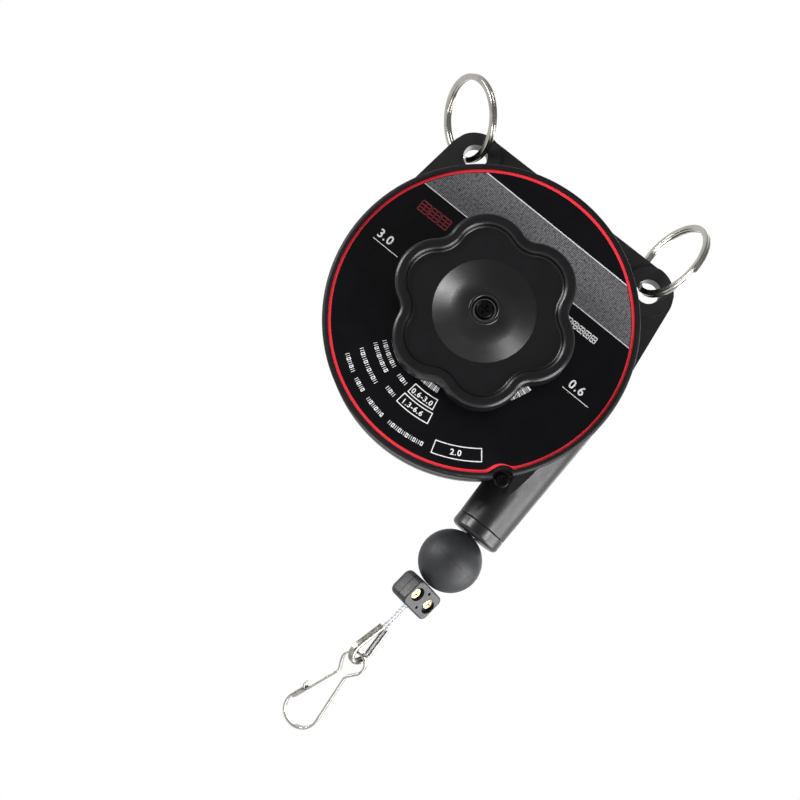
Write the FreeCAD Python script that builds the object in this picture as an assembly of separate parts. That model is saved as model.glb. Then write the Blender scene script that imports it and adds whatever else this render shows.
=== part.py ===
"""Tool balancer: a round spring reel that carries a hand tool on a steel rope.

The housing hangs from two split rings in its ears. A power spring inside a conical
("tower") drum pulls the rope up. The lobed knob in front turns the spring's arbor to
set the load: pulled out against its small spring it leaves the toothed lock ring,
is turned, and drops back into the teeth. A guide spout leads the rope down to a
rubber stop ball, a two-piece rope clamp, a thimble and a snap hook.

Millimetres. The model is drawn round the disc's own axis, with the label's face at
y = 0, the front towards -Y and +Z up, and is then moved so that the origin lies
midway between the two ear holes, from which the balancer hangs.
"""
import FreeCAD, Part
import math
import os

V = FreeCAD.Vector

# ---- driving dimensions -------------------------------------------------------
# Running and sliding clearances.
FIT = 0.06             # radial clearance of a shaft in its bush
SEAT = 0.05            # clearance of pressed or seated pieces
GAP = 0.3              # air between pieces that only pass each other

# Housing: two shells that meet at a spigot.
HOUSING_R = 60.0       # outer radius at the front face
DRAFT = 0.05           # radius lost per millimetre of depth
WALL = 2.8
LIP = 0.8              # rim that stands proud of the label
LIP_W = 2.1            # width of the rim
FACE_T = 2.6           # front wall under the label
LABEL_T = 0.8
PART_Y = 14.0          # parting line between the shells
DEPTH = 44.5           # label face to back face
BACK_T = 3.0
BACK_ROUND = 5.0
SPIGOT_L = 2.5
LUG_COUNT = 3          # bayonet lugs on the spigot
LUG_DEG = 12.0

# Locking screw at the lower right of the rim.
POCKET_A = -44.0
POCKET_OUT = 0.6       # the screw's axis lies this far outside the front face's edge
POCKET_R = 4.0
POCKET_Y = 8.0         # depth of the pocket's floor
POCKET_WALL = 1.2
LOCK_SCREW_R = 1.5
LOCK_SCREW_L = 9.0
LOCK_HEAD_R = 2.75
LOCK_HEAD_H = 1.9

# Ears on the rear shell.
EYE_OUT = 7.0          # ear hole's centre beyond the front face's edge
EYE_DEG = 50.5         # its direction from the disc axis
EYE_R = 4.75
EAR_IN = 1.1           # the ear's round corner is centred this far inside the hole
EAR_DOWN = 2.1         # and this far below it
EAR_R = 12.0
EAR_Y0 = 17.0
EAR_T = 8.0
WEB_STEP = 1.3         # the web between the ears is this much thinner, in front
EAR_PAD_R = 10.0       # round pad of full thickness about the hole

# Guide spout for the rope.
SPOUT_END_R = 10.3
SPOUT_TAPER = 0.028    # radius gained per millimetre upwards
SPOUT_WALL = 2.2
SPOUT_TOP = 6.0        # height of the spout's top over the disc axis
SPOUT_SHORT = 1.0      # the spout's seam lies this far inside the housing's lowest point
SEAM_ROUND = 0.4       # rounded edges where the nozzle meets the spout
NOZZLE_L = 5.5
NOZZLE_ROUND = 1.8
NOZZLE_PLUG_L = 8.0
NOZZLE_BORE_R = 1.4
NOZZLE_FLARE_R = 3.6
NOZZLE_FLARE_L = 2.2

# Rope and drum.
ROPE_R = 0.7
DRUM_GAP = 1.525       # air between the drum's rear flange and the rear shell
CONE_RISE = 3.5        # radius gained from the first groove to the last
TURNS = 7              # grooves in the drum
REAR_RIM = 4.2         # last groove to the drum's rear face
GROOVE_PITCH = 1.8
GROOVE_LAND = 0.25     # how far a groove's lip reaches past the rope's centre, inwards
FLANGE_UP = 1.6        # rear flange over the rope's centre line
GROOVE_FLOOR = 1.9     # drum wall between the cup's wall and the rope
CUP_WALL = 2.4
CUP_LEDGE = 0.8        # ledge that the spring cover lies on
DRUM_OFF_CLIP = 0.7    # drum's front face behind the circlip
DRUM_OFF_BACK = 1.5    # air between the drum and the rear shell's back
DRUM_WEB_T = 2.5
DRUM_HOLE_R = 6.0
DRUM_HOLE_IN = 15.5    # holes of the drum's web inside the cup's wall
COVER_T = 1.6          # spring cover
COVER_SUNK = 1.2       # spring cover below the drum's rear face
COVER_HOLE_R = 4.0
COVER_HOLE_IN = 13.5
COVER_SCREW_R = 1.6
COVER_SCREW_H = 1.0

# Power spring.
STRIP_T = 0.8
SPRING_TURNS = 9
SPRING_OFF_WEB = 2.0   # spring behind the drum's web
SPRING_OFF_COVER = 0.7

# Arbor.
ARBOR_FRONT_R = 6.0
ARBOR_R = 7.0
ARBOR_SEAT_R = 9.0     # seat of the spring's inner turn
ARBOR_REAR_R = 5.0
ARBOR_FLAT = 4.7       # distance of each driving flat from the axis
ARBOR_SHOULDER_Y = 5.7
BUSH_WALL = 2.5
BUSH_FLANGE_R = 10.5
BUSH_FLANGE_T = 1.2
CLIP_Y = 6.3
CLIP_T = 1.0
CLIP_R = 8.8
CLIP_DEPTH = 0.7
CAP_R = 11.0
CAP_T = 1.2

# Tension knob with six lobes.
LOBES = 6
KNOB_R = 36.0          # reach of a lobe
LOBE_DEPTH = 5.2       # valleys lie this far inside the lobes
VALLEY_R = 6.3         # radius of a valley's arc
KNOB_REST = 6.0        # turn of the first lobe from +X
BEAD_W = 4.4
BEAD_ROUND = 1.9
KNOB_TOP = 22.6        # rim's top over the label
KNOB_UNDER = 9.5       # rim's lower edge over the label
KNOB_WEB_TOP = 19.4
KNOB_WEB_T = 2.4
DOME_R = 19.2
DOME_TOP = 24.0
KNOB_BORE_R = 4.7
KNOB_HUB_R = 12.0
KNOB_RIB_T = 1.4

# Toothed lock between knob and cover.
TEETH = 12
TOOTH_H = 2.4
TOOTH_SLACK = 0.6      # degrees of play in all
LOCK_R0 = 12.6
LOCK_R1 = 17.0
LOCK_BASE_T = 3.0
COVER_BOSS_R = 18.4
COVER_BOSS_H = 3.0

# Knob screw, washer and spring.
KSCREW_R = 2.0
KSCREW_HEAD_R = 3.6
KSCREW_HEAD_H = 2.6
KWASHER_R = 4.3
KWASHER_T = 0.8
KSPRING_L = 7.3
KSPRING_WIRE = 0.7
KSPRING_COILS = 4
KNOB_FLOOR_Y = -12.5   # front side of the floor that the knob's spring pushes on
KNOB_FLOOR_T = 2.0
KNOB_HUB_Y = -1.6      # rear end of the knob's hub

# Split rings.
RING_R = 17.5
RING_W = 2.4           # radial width of the flattened wire
RING_T = 1.25          # thickness of one coil
RING_SPLIT = 22.0      # degrees taken by the crossing between the coils
RING_TWIST = 30.0      # turn of the ring about its own long axis
LEFT_RING_A = 135.0    # direction each ring stands in
RIGHT_RING_A = 90.0

# Chain below the spout, measured down the leaning rope.
CHAIN_LEAN = 6.0
BALL_R = 12.4
BALL_GAP = 0.1         # ball below the nozzle's mouth
CLAMP_W = 15.6         # across the two strands
CLAMP_H = 10.6
CLAMP_D = 7.6
CLAMP_ROUND = 1.9
CLAMP_EDGE = 0.8
CLAMP_SPLIT = 0.4
CLAMP_GAP = 0.25       # clamp below the ball
CLAMP_TURN = 48.0      # turn of the clamp about the rope
CSCREW_R = 1.25
CSCREW_HEAD_R = 2.45
CSCREW_HEAD_H = 1.4
CSCREW_SINK = 0.5      # head below the clamp's face
CSCREW_OFF_X = 4.5
CSCREW_OFF_Z = 0.35
NUT_R = 2.4
NUT_T = 1.6
NUT_SINK = 0.3

# Rope eye and thimble.
EYE_TURN = 55.0
STRAND_HALF = 0.76     # half the distance between the two strands
MERGE_GAP = 9.4        # clamp to where the strands part
MERGE_RISE = 15.5      # that point over the centre of the thimble's round end
EYE_BEND_R = 4.5       # rope centre radius round the thimble
THIMBLE_WALL = 0.55
THIMBLE_HALF = 1.45    # half the channel's width
THIMBLE_FLANGE = 0.4   # flange past the rope's centre

# Snap hook, a bent spring strip.
HOOK_TURN = -4.0
HOOK_LEAN = 9.0        # sideways, in the hook's own plane
HOOK_TILT = 20.0       # lower end tipped towards the back
HOOK_SIDE = 1.0        # where the eye lies across the thimble's channel
HOOK_T = 0.9
HOOK_W = 3.0
HOOK_EYE_R = 4.7       # centre line of the small loop
HOOK_SEAT = 2.0        # strip above the thimble's inside
NECK_HALF = 1.75
NECK_DOWN = 11.0
BOW_R = 6.5
BOW_DOWN = 33.4
CLASP_L = 6.2
CLASP_SIDE_T = 0.7
CLASP_LIP = 1.5
ARM_GAP = 0.3

# ---- worked-out values ---------------------------------------------------------
FACE_BACK = LABEL_T + FACE_T
BACK_IN = DEPTH - BACK_T
LIP_R = HOUSING_R - LIP_W
POCKET_AT = HOUSING_R + POCKET_OUT
EYE_X = (HOUSING_R + EYE_OUT) * math.cos(math.radians(EYE_DEG))
EYE_Z = (HOUSING_R + EYE_OUT) * math.sin(math.radians(EYE_DEG))
EAR_X = EYE_X - EAR_IN
EAR_Z = EYE_Z - EAR_DOWN
ARBOR_REAR_Y = DEPTH - CAP_T - GAP
DRUM_Y0 = CLIP_Y + CLIP_T + DRUM_OFF_CLIP
DRUM_Y1 = BACK_IN - DRUM_OFF_BACK
DRUM_END_R = HOUSING_R - DRAFT * BACK_IN - WALL - FLANGE_UP - DRUM_GAP
ROPE_X = DRUM_END_R - CONE_RISE
ROPE_Y = DRUM_Y1 - REAR_RIM - (TURNS - 1) * GROOVE_PITCH
CUP_R = ROPE_X - ROPE_R - GROOVE_FLOOR - CUP_WALL
SPOUT_END = SPOUT_SHORT - HOUSING_R
KNOB_VALLEY = KNOB_R - LOBE_DEPTH
BUSH_FRONT_R = ARBOR_FRONT_R + FIT + BUSH_WALL
DRUM_BUSH_R = ARBOR_R + FIT + BUSH_WALL
REAR_BUSH_R = ARBOR_REAR_R + FIT + BUSH_WALL
NOZZLE_END = SPOUT_END - NOZZLE_L
SPOUT_BORE_R = SPOUT_END_R - SPOUT_WALL
EAR_MID_Y = EAR_Y0 + EAR_T / 2
HOME = V(0, -EAR_MID_Y, -EYE_Z)
COVER_Y = DRUM_Y1 - COVER_T - COVER_SUNK
SPRING_Y0 = DRUM_Y0 + DRUM_WEB_T + SPRING_OFF_WEB
SPRING_Y1 = COVER_Y - SPRING_OFF_COVER
STRIP_W = SPRING_Y1 - SPRING_Y0
CLAMP_TOP = -2 * BALL_R - BALL_GAP - CLAMP_GAP
CLAMP_MID = CLAMP_TOP - CLAMP_H / 2
MERGE_Z = CLAMP_TOP - CLAMP_H - MERGE_GAP
THIMBLE_Z = MERGE_Z - MERGE_RISE
THIMBLE_IN_R = EYE_BEND_R - ROPE_R - THIMBLE_WALL
HOOK_Q = THIMBLE_Z - THIMBLE_IN_R + HOOK_SEAT + HOOK_T / 2


# ---- helpers -------------------------------------------------------------------
def outer_r(y):
    """Housing radius at depth y, with its moulding draft."""
    return HOUSING_R - DRAFT * y


def cyl(r, y0, y1, x=0.0, z=0.0):
    """Cylinder along Y."""
    return Part.makeCylinder(r, y1 - y0, V(x, y0, z), V(0, 1, 0))


def tube(r_out, r_in, y0, y1, x=0.0, z=0.0):
    """Ring along Y."""
    return cyl(r_out, y0, y1, x, z).cut(cyl(r_in, y0, y1, x, z))


def cone(r0, r1, y0, y1):
    """Cone along Y on the disc axis."""
    return Part.makeCone(r0, r1, y1 - y0, V(0, y0, 0), V(0, 1, 0))


def polar(r, deg, y=0.0):
    """Point at a radius and angle round the disc axis."""
    a = math.radians(deg)
    return V(r * math.cos(a), y, r * math.sin(a))


def spin(shape, deg):
    """Copy turned about the disc axis, from +X towards +Z."""
    turned = shape.copy()
    turned.rotate(V(0, 0, 0), V(0, 1, 0), -deg)
    return turned


def wedge(r, deg0, deg1, y0, y1):
    """Pie slice round the disc axis between two angles."""
    mid = (deg0 + deg1) / 2
    edges = [
        Part.LineSegment(V(0, y0, 0), polar(r, deg0, y0)).toShape(),
        Part.Arc(polar(r, deg0, y0), polar(r, mid, y0), polar(r, deg1, y0)).toShape(),
        Part.LineSegment(polar(r, deg1, y0), V(0, y0, 0)).toShape(),
    ]
    return Part.Face(Part.Wire(edges)).extrude(V(0, y1 - y0, 0))


def lathe(points):
    """Solid of revolution about Y from (radius, y) points."""
    wire = Part.makePolygon([V(r, y, 0) for r, y in points + points[:1]])
    return Part.Face(wire).revolve(V(0, 0, 0), V(0, 1, 0), 360)


def fuse(shapes):
    """One shape from several."""
    return shapes[0].fuse(shapes[1:]).removeSplitter()


def chain_place(shape, turn=0.0):
    """Move a shape drawn down the Z axis on to the leaning rope below the spout."""
    placed = shape.copy()
    placed.rotate(V(0, 0, 0), V(0, 0, 1), turn)
    placed.rotate(V(0, 0, 0), V(0, 1, 0), CHAIN_LEAN)
    placed.translate(V(ROPE_X, ROPE_Y, NOZZLE_END))
    return placed


def save(name, shape):
    """Write one piece in the part's own frame."""
    placed = shape.copy()
    placed.translate(HOME)
    placed.exportStep("parts/%s.step" % name)
    kind = "" if placed.isValid() else "  INVALID"
    print("%-16s solids %d  volume %.1f%s" % (name, len(placed.Solids), placed.Volume, kind))


# ---- housing -------------------------------------------------------------------
def pocket(r, y0, y1):
    """Cylinder on the locking screw's axis."""
    at = polar(POCKET_AT, POCKET_A)
    return cyl(r, y0, y1, at.x, at.z)


def lug(deg, grow):
    """Bayonet lug of the spigot at one angle, or its pocket when grown."""
    r_out = outer_r(PART_Y) - WALL / 2 + WALL / 5 + grow
    ring = tube(r_out, outer_r(PART_Y) - WALL + SEAT, PART_Y + 0.9 - grow, PART_Y + SPIGOT_L + grow)
    return ring.common(wedge(HOUSING_R + WALL, deg - LUG_DEG / 2 - grow * 2, deg + LUG_DEG / 2 + grow * 2,
                             PART_Y, PART_Y + 2 * SPIGOT_L))


def lug_angles():
    """Where the bayonet lugs stand."""
    return [30.0 + 360.0 * k / LUG_COUNT for k in range(LUG_COUNT)]


def front_cover():
    """Front shell: face, rim, spigot, screw pocket, ribs and the knob's boss."""
    body = cone(outer_r(-LIP), outer_r(PART_Y), -LIP, PART_Y)
    rim = [e for e in body.Edges if abs(e.BoundBox.YMin + LIP) < 1e-6 and abs(e.BoundBox.YMax + LIP) < 1e-6]
    body = body.makeFillet(1.2, rim)
    body = body.cut(cyl(LIP_R, -LIP - 1, LABEL_T))
    body = body.cut(cone(outer_r(FACE_BACK) - WALL, outer_r(PART_Y) - WALL, FACE_BACK, PART_Y + 1))
    spigot = tube(outer_r(PART_Y) - WALL / 2 - SEAT, outer_r(PART_Y) - WALL, PART_Y - 1, PART_Y + SPIGOT_L)
    boss_wall = pocket(POCKET_R + POCKET_WALL, -LIP + 1.4, PART_Y).common(cyl(outer_r(PART_Y), -LIP, PART_Y))
    boss = tube(COVER_BOSS_R, LOCK_R0, -COVER_BOSS_H, FACE_BACK)
    inner = cyl(BUSH_FLANGE_R + 2.0, FACE_BACK - 1, FACE_BACK + 1.0)
    shapes = [body, spigot, boss_wall, boss, inner]
    shapes += [lug(a, 0.0) for a in lug_angles()]
    rib_r = outer_r(PART_Y) - WALL + 0.5
    for k in range(LOBES):
        rib = Part.makeBox(rib_r - BUSH_FLANGE_R, 2.6, 1.4, V(BUSH_FLANGE_R, FACE_BACK - 0.4, -0.7))
        shapes.append(spin(rib, 15.0 + 60.0 * k))
    body = fuse(shapes)
    body = body.cut(pocket(POCKET_R, -LIP - 1, POCKET_Y))
    body = body.cut(pocket(LOCK_SCREW_R + GAP / 2, POCKET_Y - 1, PART_Y + SPIGOT_L + 1))
    return body.cut(cyl(BUSH_FRONT_R + SEAT / 2, -COVER_BOSS_H - 1, FACE_BACK + 2))


def label_plate():
    """Thin printed plate in the rim, cut away round the boss and the screw pocket."""
    plate = tube(LIP_R - SEAT, COVER_BOSS_R + SEAT, 0, LABEL_T)
    return plate.cut(pocket(POCKET_R + POCKET_WALL + SEAT, -1, LABEL_T + 1))


def lock_screw():
    """Screw that locks the cover to the rear shell."""
    at = polar(POCKET_AT, POCKET_A)
    head = Part.makeCylinder(LOCK_HEAD_R, LOCK_HEAD_H, V(at.x, POCKET_Y - LOCK_HEAD_H, at.z), V(0, 1, 0))
    top = [e for e in head.Edges if abs(e.BoundBox.YMax - (POCKET_Y - LOCK_HEAD_H)) < 1e-6]
    head = head.makeFillet(0.6, top)
    slot = cross_slot(2.9, 0.7, 1.0)
    slot.translate(V(at.x, POCKET_Y - LOCK_HEAD_H, at.z))
    shank = cyl(LOCK_SCREW_R, POCKET_Y, POCKET_Y + LOCK_SCREW_L, at.x, at.z)
    return fuse([head, shank]).cut(slot)


def cross_slot(length, width, depth):
    """Cross recess cut down along +Y from y = 0."""
    bar = Part.makeBox(length, depth + 1, width, V(-length / 2, -1, -width / 2))
    other = bar.copy()
    other.rotate(V(0, 0, 0), V(0, 1, 0), 90)
    return bar.fuse(other)


def ear_outline(y0, y1):
    """Plate whose outline wraps the housing and both ear corners."""
    reach = math.hypot(EAR_X, EAR_Z)
    toward = math.degrees(math.atan2(EAR_Z, EAR_X))
    body_r = outer_r(PART_Y)
    swing = math.degrees(math.acos((body_r - EAR_R) / reach))
    flank = toward - swing
    top = toward + swing
    mid = (flank + top) / 2

    def ear_point(deg, side):
        return V(side * (EAR_X + EAR_R * math.cos(math.radians(deg))), y0,
                 EAR_Z + EAR_R * math.sin(math.radians(deg)))

    def body_point(deg, side):
        point = polar(body_r, deg, y0)
        return V(side * point.x, y0, point.z)

    edges = [
        Part.LineSegment(body_point(flank, 1), ear_point(flank, 1)).toShape(),
        Part.Arc(ear_point(flank, 1), ear_point(mid, 1), ear_point(top, 1)).toShape(),
        Part.LineSegment(ear_point(top, 1), V(0, y0, ear_point(top, 1).z)).toShape(),
        Part.LineSegment(V(0, y0, ear_point(top, 1).z), ear_point(top, -1)).toShape(),
        Part.Arc(ear_point(top, -1), ear_point(mid, -1), ear_point(flank, -1)).toShape(),
        Part.LineSegment(ear_point(flank, -1), body_point(flank, -1)).toShape(),
        Part.Arc(body_point(flank, -1), V(0, y0, -body_r), body_point(flank, 1)).toShape(),
    ]
    return Part.Face(Part.Wire(edges)).extrude(V(0, y1 - y0, 0))


def spout(r_end, z_end, bore):
    """Round spout down the rope's line: its outside, or its bore."""
    height = SPOUT_TOP - z_end
    if bore:
        return Part.makeCylinder(r_end, height, V(ROPE_X, ROPE_Y, z_end))
    r_top = r_end + SPOUT_TAPER * height
    stem = Part.makeCone(r_end, r_top, height, V(ROPE_X, ROPE_Y, z_end))
    cap = Part.makeSphere(r_top, V(ROPE_X, ROPE_Y, SPOUT_TOP), V(0, 0, 1), 0, 90)
    return stem.fuse(cap)


def rear_shell():
    """Rear shell: drum case, ears with their web, spout, screw hole and bush seat."""
    body = cone(outer_r(PART_Y), outer_r(DEPTH), PART_Y, DEPTH)
    back = [e for e in body.Edges if e.BoundBox.YMin > DEPTH - 1e-6]
    body = body.makeFillet(BACK_ROUND, back)
    web = ear_outline(EAR_Y0 + WEB_STEP, EAR_Y0 + EAR_T)
    round_pads = [cyl(EAR_PAD_R, EAR_Y0, EAR_Y0 + EAR_T, x, EYE_Z) for x in (-EYE_X, EYE_X)]
    pads = ear_outline(EAR_Y0, EAR_Y0 + EAR_T).common(Part.makeCompound(round_pads))
    pipe = spout(SPOUT_END_R, SPOUT_END, False)
    end = [e for e in pipe.Edges if e.BoundBox.ZMax < SPOUT_END + 1e-6]
    pipe = pipe.makeFillet(SEAM_ROUND, end)
    pipe = pipe.cut(cyl(HOUSING_R + 20, -5, PART_Y + GAP))
    case = fuse([body, web, pipe] + pads.Solids)
    cavity = cone(outer_r(PART_Y) - WALL, outer_r(BACK_IN) - WALL, PART_Y, BACK_IN)
    case = case.cut(cavity)
    case = case.cut(tube(outer_r(PART_Y) - WALL / 2, outer_r(PART_Y) - WALL - 1, PART_Y, PART_Y + SPIGOT_L + SEAT))
    for a in lug_angles():
        case = case.cut(lug(a, 2 * SEAT))
    case = case.cut(spout(SPOUT_BORE_R, SPOUT_END, True))
    case = case.fuse(cyl(REAR_BUSH_R + 2, BACK_IN - 0.9, BACK_IN + 1)).removeSplitter()
    case = case.cut(pocket(LOCK_SCREW_R + SEAT, PART_Y - 1, POCKET_Y + LOCK_SCREW_L + 0.5))
    case = case.cut(cyl(REAR_BUSH_R + SEAT / 2, BACK_IN - 2, DEPTH))
    case = case.cut(cyl(CAP_R + SEAT, DEPTH - CAP_T, DEPTH + 1))
    for x in (-EYE_X, EYE_X):
        case = case.cut(cyl(EYE_R, EAR_Y0 - 1, EAR_Y0 + EAR_T + 1, x, EYE_Z))
    return case


def spout_nozzle():
    """Smooth guide nozzle pushed into the spout, flared for the rope."""
    outer = Part.makeCylinder(SPOUT_END_R, NOZZLE_L, V(ROPE_X, ROPE_Y, NOZZLE_END))
    low = [e for e in outer.Edges if e.BoundBox.ZMax < NOZZLE_END + 1e-6]
    outer = outer.makeFillet(NOZZLE_ROUND, low)
    high = [e for e in outer.Edges if e.BoundBox.ZMin > SPOUT_END - 1e-6]
    outer = outer.makeFillet(SEAM_ROUND, high)
    plug = Part.makeCylinder(SPOUT_BORE_R - SEAT, NOZZLE_PLUG_L, V(ROPE_X, ROPE_Y, SPOUT_END))
    through = NOZZLE_L + NOZZLE_PLUG_L + 2
    bore = Part.makeCylinder(NOZZLE_BORE_R, through, V(ROPE_X, ROPE_Y, NOZZLE_END - 1))
    flare = Part.makeCone(NOZZLE_FLARE_R, NOZZLE_BORE_R, NOZZLE_FLARE_L, V(ROPE_X, ROPE_Y, NOZZLE_END))
    funnel = Part.makeCone(NOZZLE_BORE_R, SPOUT_BORE_R - 1.2, NOZZLE_PLUG_L - 1,
                           V(ROPE_X, ROPE_Y, SPOUT_END + 1))
    return fuse([outer, plug]).cut(bore.fuse([flare, funnel]))


def crown(r0, r1, y_base, y_tip, shift):
    """Ring of crown teeth, each half a pitch wide less its share of the play."""
    ring = tube(r1, r0, min(y_base, y_tip), max(y_base, y_tip))
    pitch = 360.0 / TEETH
    half = pitch / 4 - TOOTH_SLACK / 2
    keep = [wedge(r1 + 1, k * pitch + shift - half, k * pitch + shift + half, y_tip - 9, y_tip + 9)
            for k in range(TEETH)]
    return ring.common(Part.makeCompound(keep))


def lock_ring():
    """Toothed ring fixed in the cover's boss."""
    top = -COVER_BOSS_H
    base = tube(LOCK_R1, LOCK_R0, top - LOCK_BASE_T, top)
    teeth = crown(LOCK_R0, LOCK_R1, top - LOCK_BASE_T + 0.01, top - LOCK_BASE_T - TOOTH_H, 0.0)
    return base.fuse(teeth.Solids).removeSplitter()


def cover_bush():
    """Flanged bush of the arbor in the front cover."""
    body = tube(BUSH_FRONT_R, ARBOR_FRONT_R + FIT, -0.5, FACE_BACK + 1.0)
    flange = tube(BUSH_FLANGE_R, ARBOR_FRONT_R + FIT, FACE_BACK + 1.0, FACE_BACK + 1.0 + BUSH_FLANGE_T)
    return fuse([body, flange])


def rear_bush():
    """Plain bush of the arbor in the back wall."""
    return tube(REAR_BUSH_R, ARBOR_REAR_R + FIT, BACK_IN - 0.9, DEPTH - CAP_T - SEAT)


def rear_cap():
    """Disc that closes the bush seat, level with the back face."""
    cap = cyl(CAP_R, DEPTH - CAP_T, DEPTH)
    return cap


# ---- arbor and knob ------------------------------------------------------------
def arbor():
    """Stepped arbor: driving flats in front, spring seat with its slot, two journals."""
    end_y = KNOB_FLOOR_Y + KNOB_FLOOR_T + 1.0
    shaft = lathe([
        (0, end_y), (ARBOR_FRONT_R - 0.5, end_y), (ARBOR_FRONT_R, end_y + 0.5),
        (ARBOR_FRONT_R, ARBOR_SHOULDER_Y), (ARBOR_R, ARBOR_SHOULDER_Y),
        (ARBOR_R, SPRING_Y0 - 0.2), (ARBOR_SEAT_R, SPRING_Y0 - 0.2),
        (ARBOR_SEAT_R, SPRING_Y1), (ARBOR_R, SPRING_Y1), (ARBOR_R, DRUM_Y1 + 0.4),
        (ARBOR_REAR_R, DRUM_Y1 + 0.4), (ARBOR_REAR_R, ARBOR_REAR_Y - 0.5),
        (ARBOR_REAR_R - 0.5, ARBOR_REAR_Y), (0, ARBOR_REAR_Y)])
    for side in (-1, 1):
        x0 = ARBOR_FLAT if side > 0 else -ARBOR_FLAT - 5
        shaft = shaft.cut(Part.makeBox(5, -1.0 - end_y + 1, 20, V(x0, end_y - 1, -10)))
    shaft = shaft.cut(cyl(KSCREW_R - 0.1, end_y - 1, end_y + 9))
    slot = Part.makeBox(ARBOR_SEAT_R + 1, STRIP_W - 1, STRIP_T + 0.3, V(2.5, SPRING_Y0 + 0.5, -STRIP_T / 2 - 0.15))
    groove = tube(ARBOR_R + 1, ARBOR_R - CLIP_DEPTH, CLIP_Y, CLIP_Y + CLIP_T)
    return shaft.cut([slot, groove])


def arbor_clip():
    """Circlip that holds the drum back on the arbor."""
    clip = tube(CLIP_R, ARBOR_R - CLIP_DEPTH + SEAT, CLIP_Y + SEAT, CLIP_Y + CLIP_T - SEAT)
    return clip.cut(wedge(CLIP_R + 2, -35, 35, CLIP_Y - 1, CLIP_Y + 3))


def knob_outline(inset, y0, y1):
    """Six-lobed prism; lobes and valleys are tangent arcs."""
    valley_at = KNOB_VALLEY + VALLEY_R
    across = valley_at * math.cos(math.pi / LOBES)
    lobe_r = ((KNOB_R ** 2 + valley_at ** 2 - 2 * KNOB_R * across - VALLEY_R ** 2)
              / (2 * (KNOB_R + VALLEY_R - across)))
    lobe_at = KNOB_R - lobe_r
    share = lobe_r / (lobe_r + VALLEY_R)
    step = 360.0 / LOBES
    edges = []
    for k in range(LOBES):
        a = KNOB_REST + k * step
        lobe = polar(lobe_at, a, y0)
        before = polar(valley_at, a - step / 2, y0)
        after = polar(valley_at, a + step / 2, y0)
        later = polar(lobe_at, a + step, y0)

        def joint(center, valley):
            touch = center + (valley - center) * share
            inward = (center - touch).normalize()
            return touch + inward * inset

        start = joint(lobe, before)
        end = joint(lobe, after)
        edges.append(Part.Arc(start, polar(KNOB_R - inset, a, y0), end).toShape())
        edges.append(Part.Arc(end, polar(KNOB_VALLEY - inset, a + step / 2, y0), joint(later, after)).toShape())
    return Part.Face(Part.Wire(edges)).extrude(V(0, y1 - y0, 0))


def knob():
    """Tension knob: beaded rim, web, dome, toothed hub and driving socket."""
    rim = knob_outline(0.0, -KNOB_TOP, -KNOB_UNDER).cut(knob_outline(BEAD_W, -KNOB_TOP - 1, -KNOB_UNDER + 1))
    bead = [e for e in rim.Edges if e.BoundBox.YMax < -KNOB_TOP + 1e-6]
    rim = rim.makeFillet(BEAD_ROUND, bead)
    web = knob_outline(BEAD_W - 0.3, -KNOB_WEB_TOP, -KNOB_WEB_TOP + KNOB_WEB_T)
    dome_edges = [
        Part.LineSegment(V(0, -DOME_TOP, 0), V(KNOB_BORE_R + 0.9, -DOME_TOP, 0)).toShape(),
        Part.Arc(V(KNOB_BORE_R + 0.9, -DOME_TOP, 0),
                 V((KNOB_BORE_R + DOME_R) / 2, -(DOME_TOP + KNOB_WEB_TOP) / 2 - 0.7, 0),
                 V(DOME_R, -KNOB_WEB_TOP, 0)).toShape(),
        Part.LineSegment(V(DOME_R, -KNOB_WEB_TOP, 0), V(DOME_R, -KNOB_WEB_TOP + 1, 0)).toShape(),
        Part.LineSegment(V(DOME_R, -KNOB_WEB_TOP + 1, 0), V(0, -KNOB_WEB_TOP + 1, 0)).toShape(),
        Part.LineSegment(V(0, -KNOB_WEB_TOP + 1, 0), V(0, -DOME_TOP, 0)).toShape(),
    ]
    dome = Part.Face(Part.Wire(dome_edges)).revolve(V(0, 0, 0), V(0, 1, 0), 360)
    under = -KNOB_WEB_TOP + KNOB_WEB_T
    lock_top = -COVER_BOSS_H - LOCK_BASE_T
    hub = cyl(KNOB_HUB_R, under - 1, KNOB_HUB_Y)
    collar = tube(LOCK_R1, KNOB_HUB_R - 0.5, under - 1, lock_top - TOOTH_H - SEAT)
    teeth = crown(LOCK_R0, LOCK_R1, lock_top - TOOTH_H - 0.1, lock_top - SEAT, 180.0 / TEETH)
    shapes = [rim, web, dome, hub, collar] + teeth.Solids
    for k in range(LOBES):
        rib = Part.makeBox(KNOB_VALLEY - LOCK_R1 - 2, -KNOB_UNDER - 2 - under, KNOB_RIB_T,
                           V(LOCK_R1 - 0.5, under - 0.3, -KNOB_RIB_T / 2))
        shapes.append(spin(rib, KNOB_REST + 60.0 * k))
    body = fuse(shapes)
    socket = cyl(ARBOR_FRONT_R + FIT, KNOB_FLOOR_Y + KNOB_FLOOR_T, KNOB_HUB_Y + 1)
    flats = Part.makeBox(2 * (ARBOR_FLAT + FIT), KNOB_TOP, 2 * KNOB_HUB_R,
                         V(-ARBOR_FLAT - FIT, -KNOB_TOP, -KNOB_HUB_R))
    body = body.cut(socket.common(flats))
    body = body.cut(cyl(KNOB_BORE_R, -DOME_TOP - 1, KNOB_FLOOR_Y))
    return body.cut(cyl(KSCREW_R + 0.15, -DOME_TOP, 0).common(cyl(KNOB_HUB_R, KNOB_FLOOR_Y - 1, -5)))


def knob_washer():
    """Washer under the knob screw's head, which the knob's spring pushes on."""
    y1 = KNOB_FLOOR_Y - KSPRING_L
    return tube(KWASHER_R, KSCREW_R + SEAT, y1 - KWASHER_T, y1)


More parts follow.
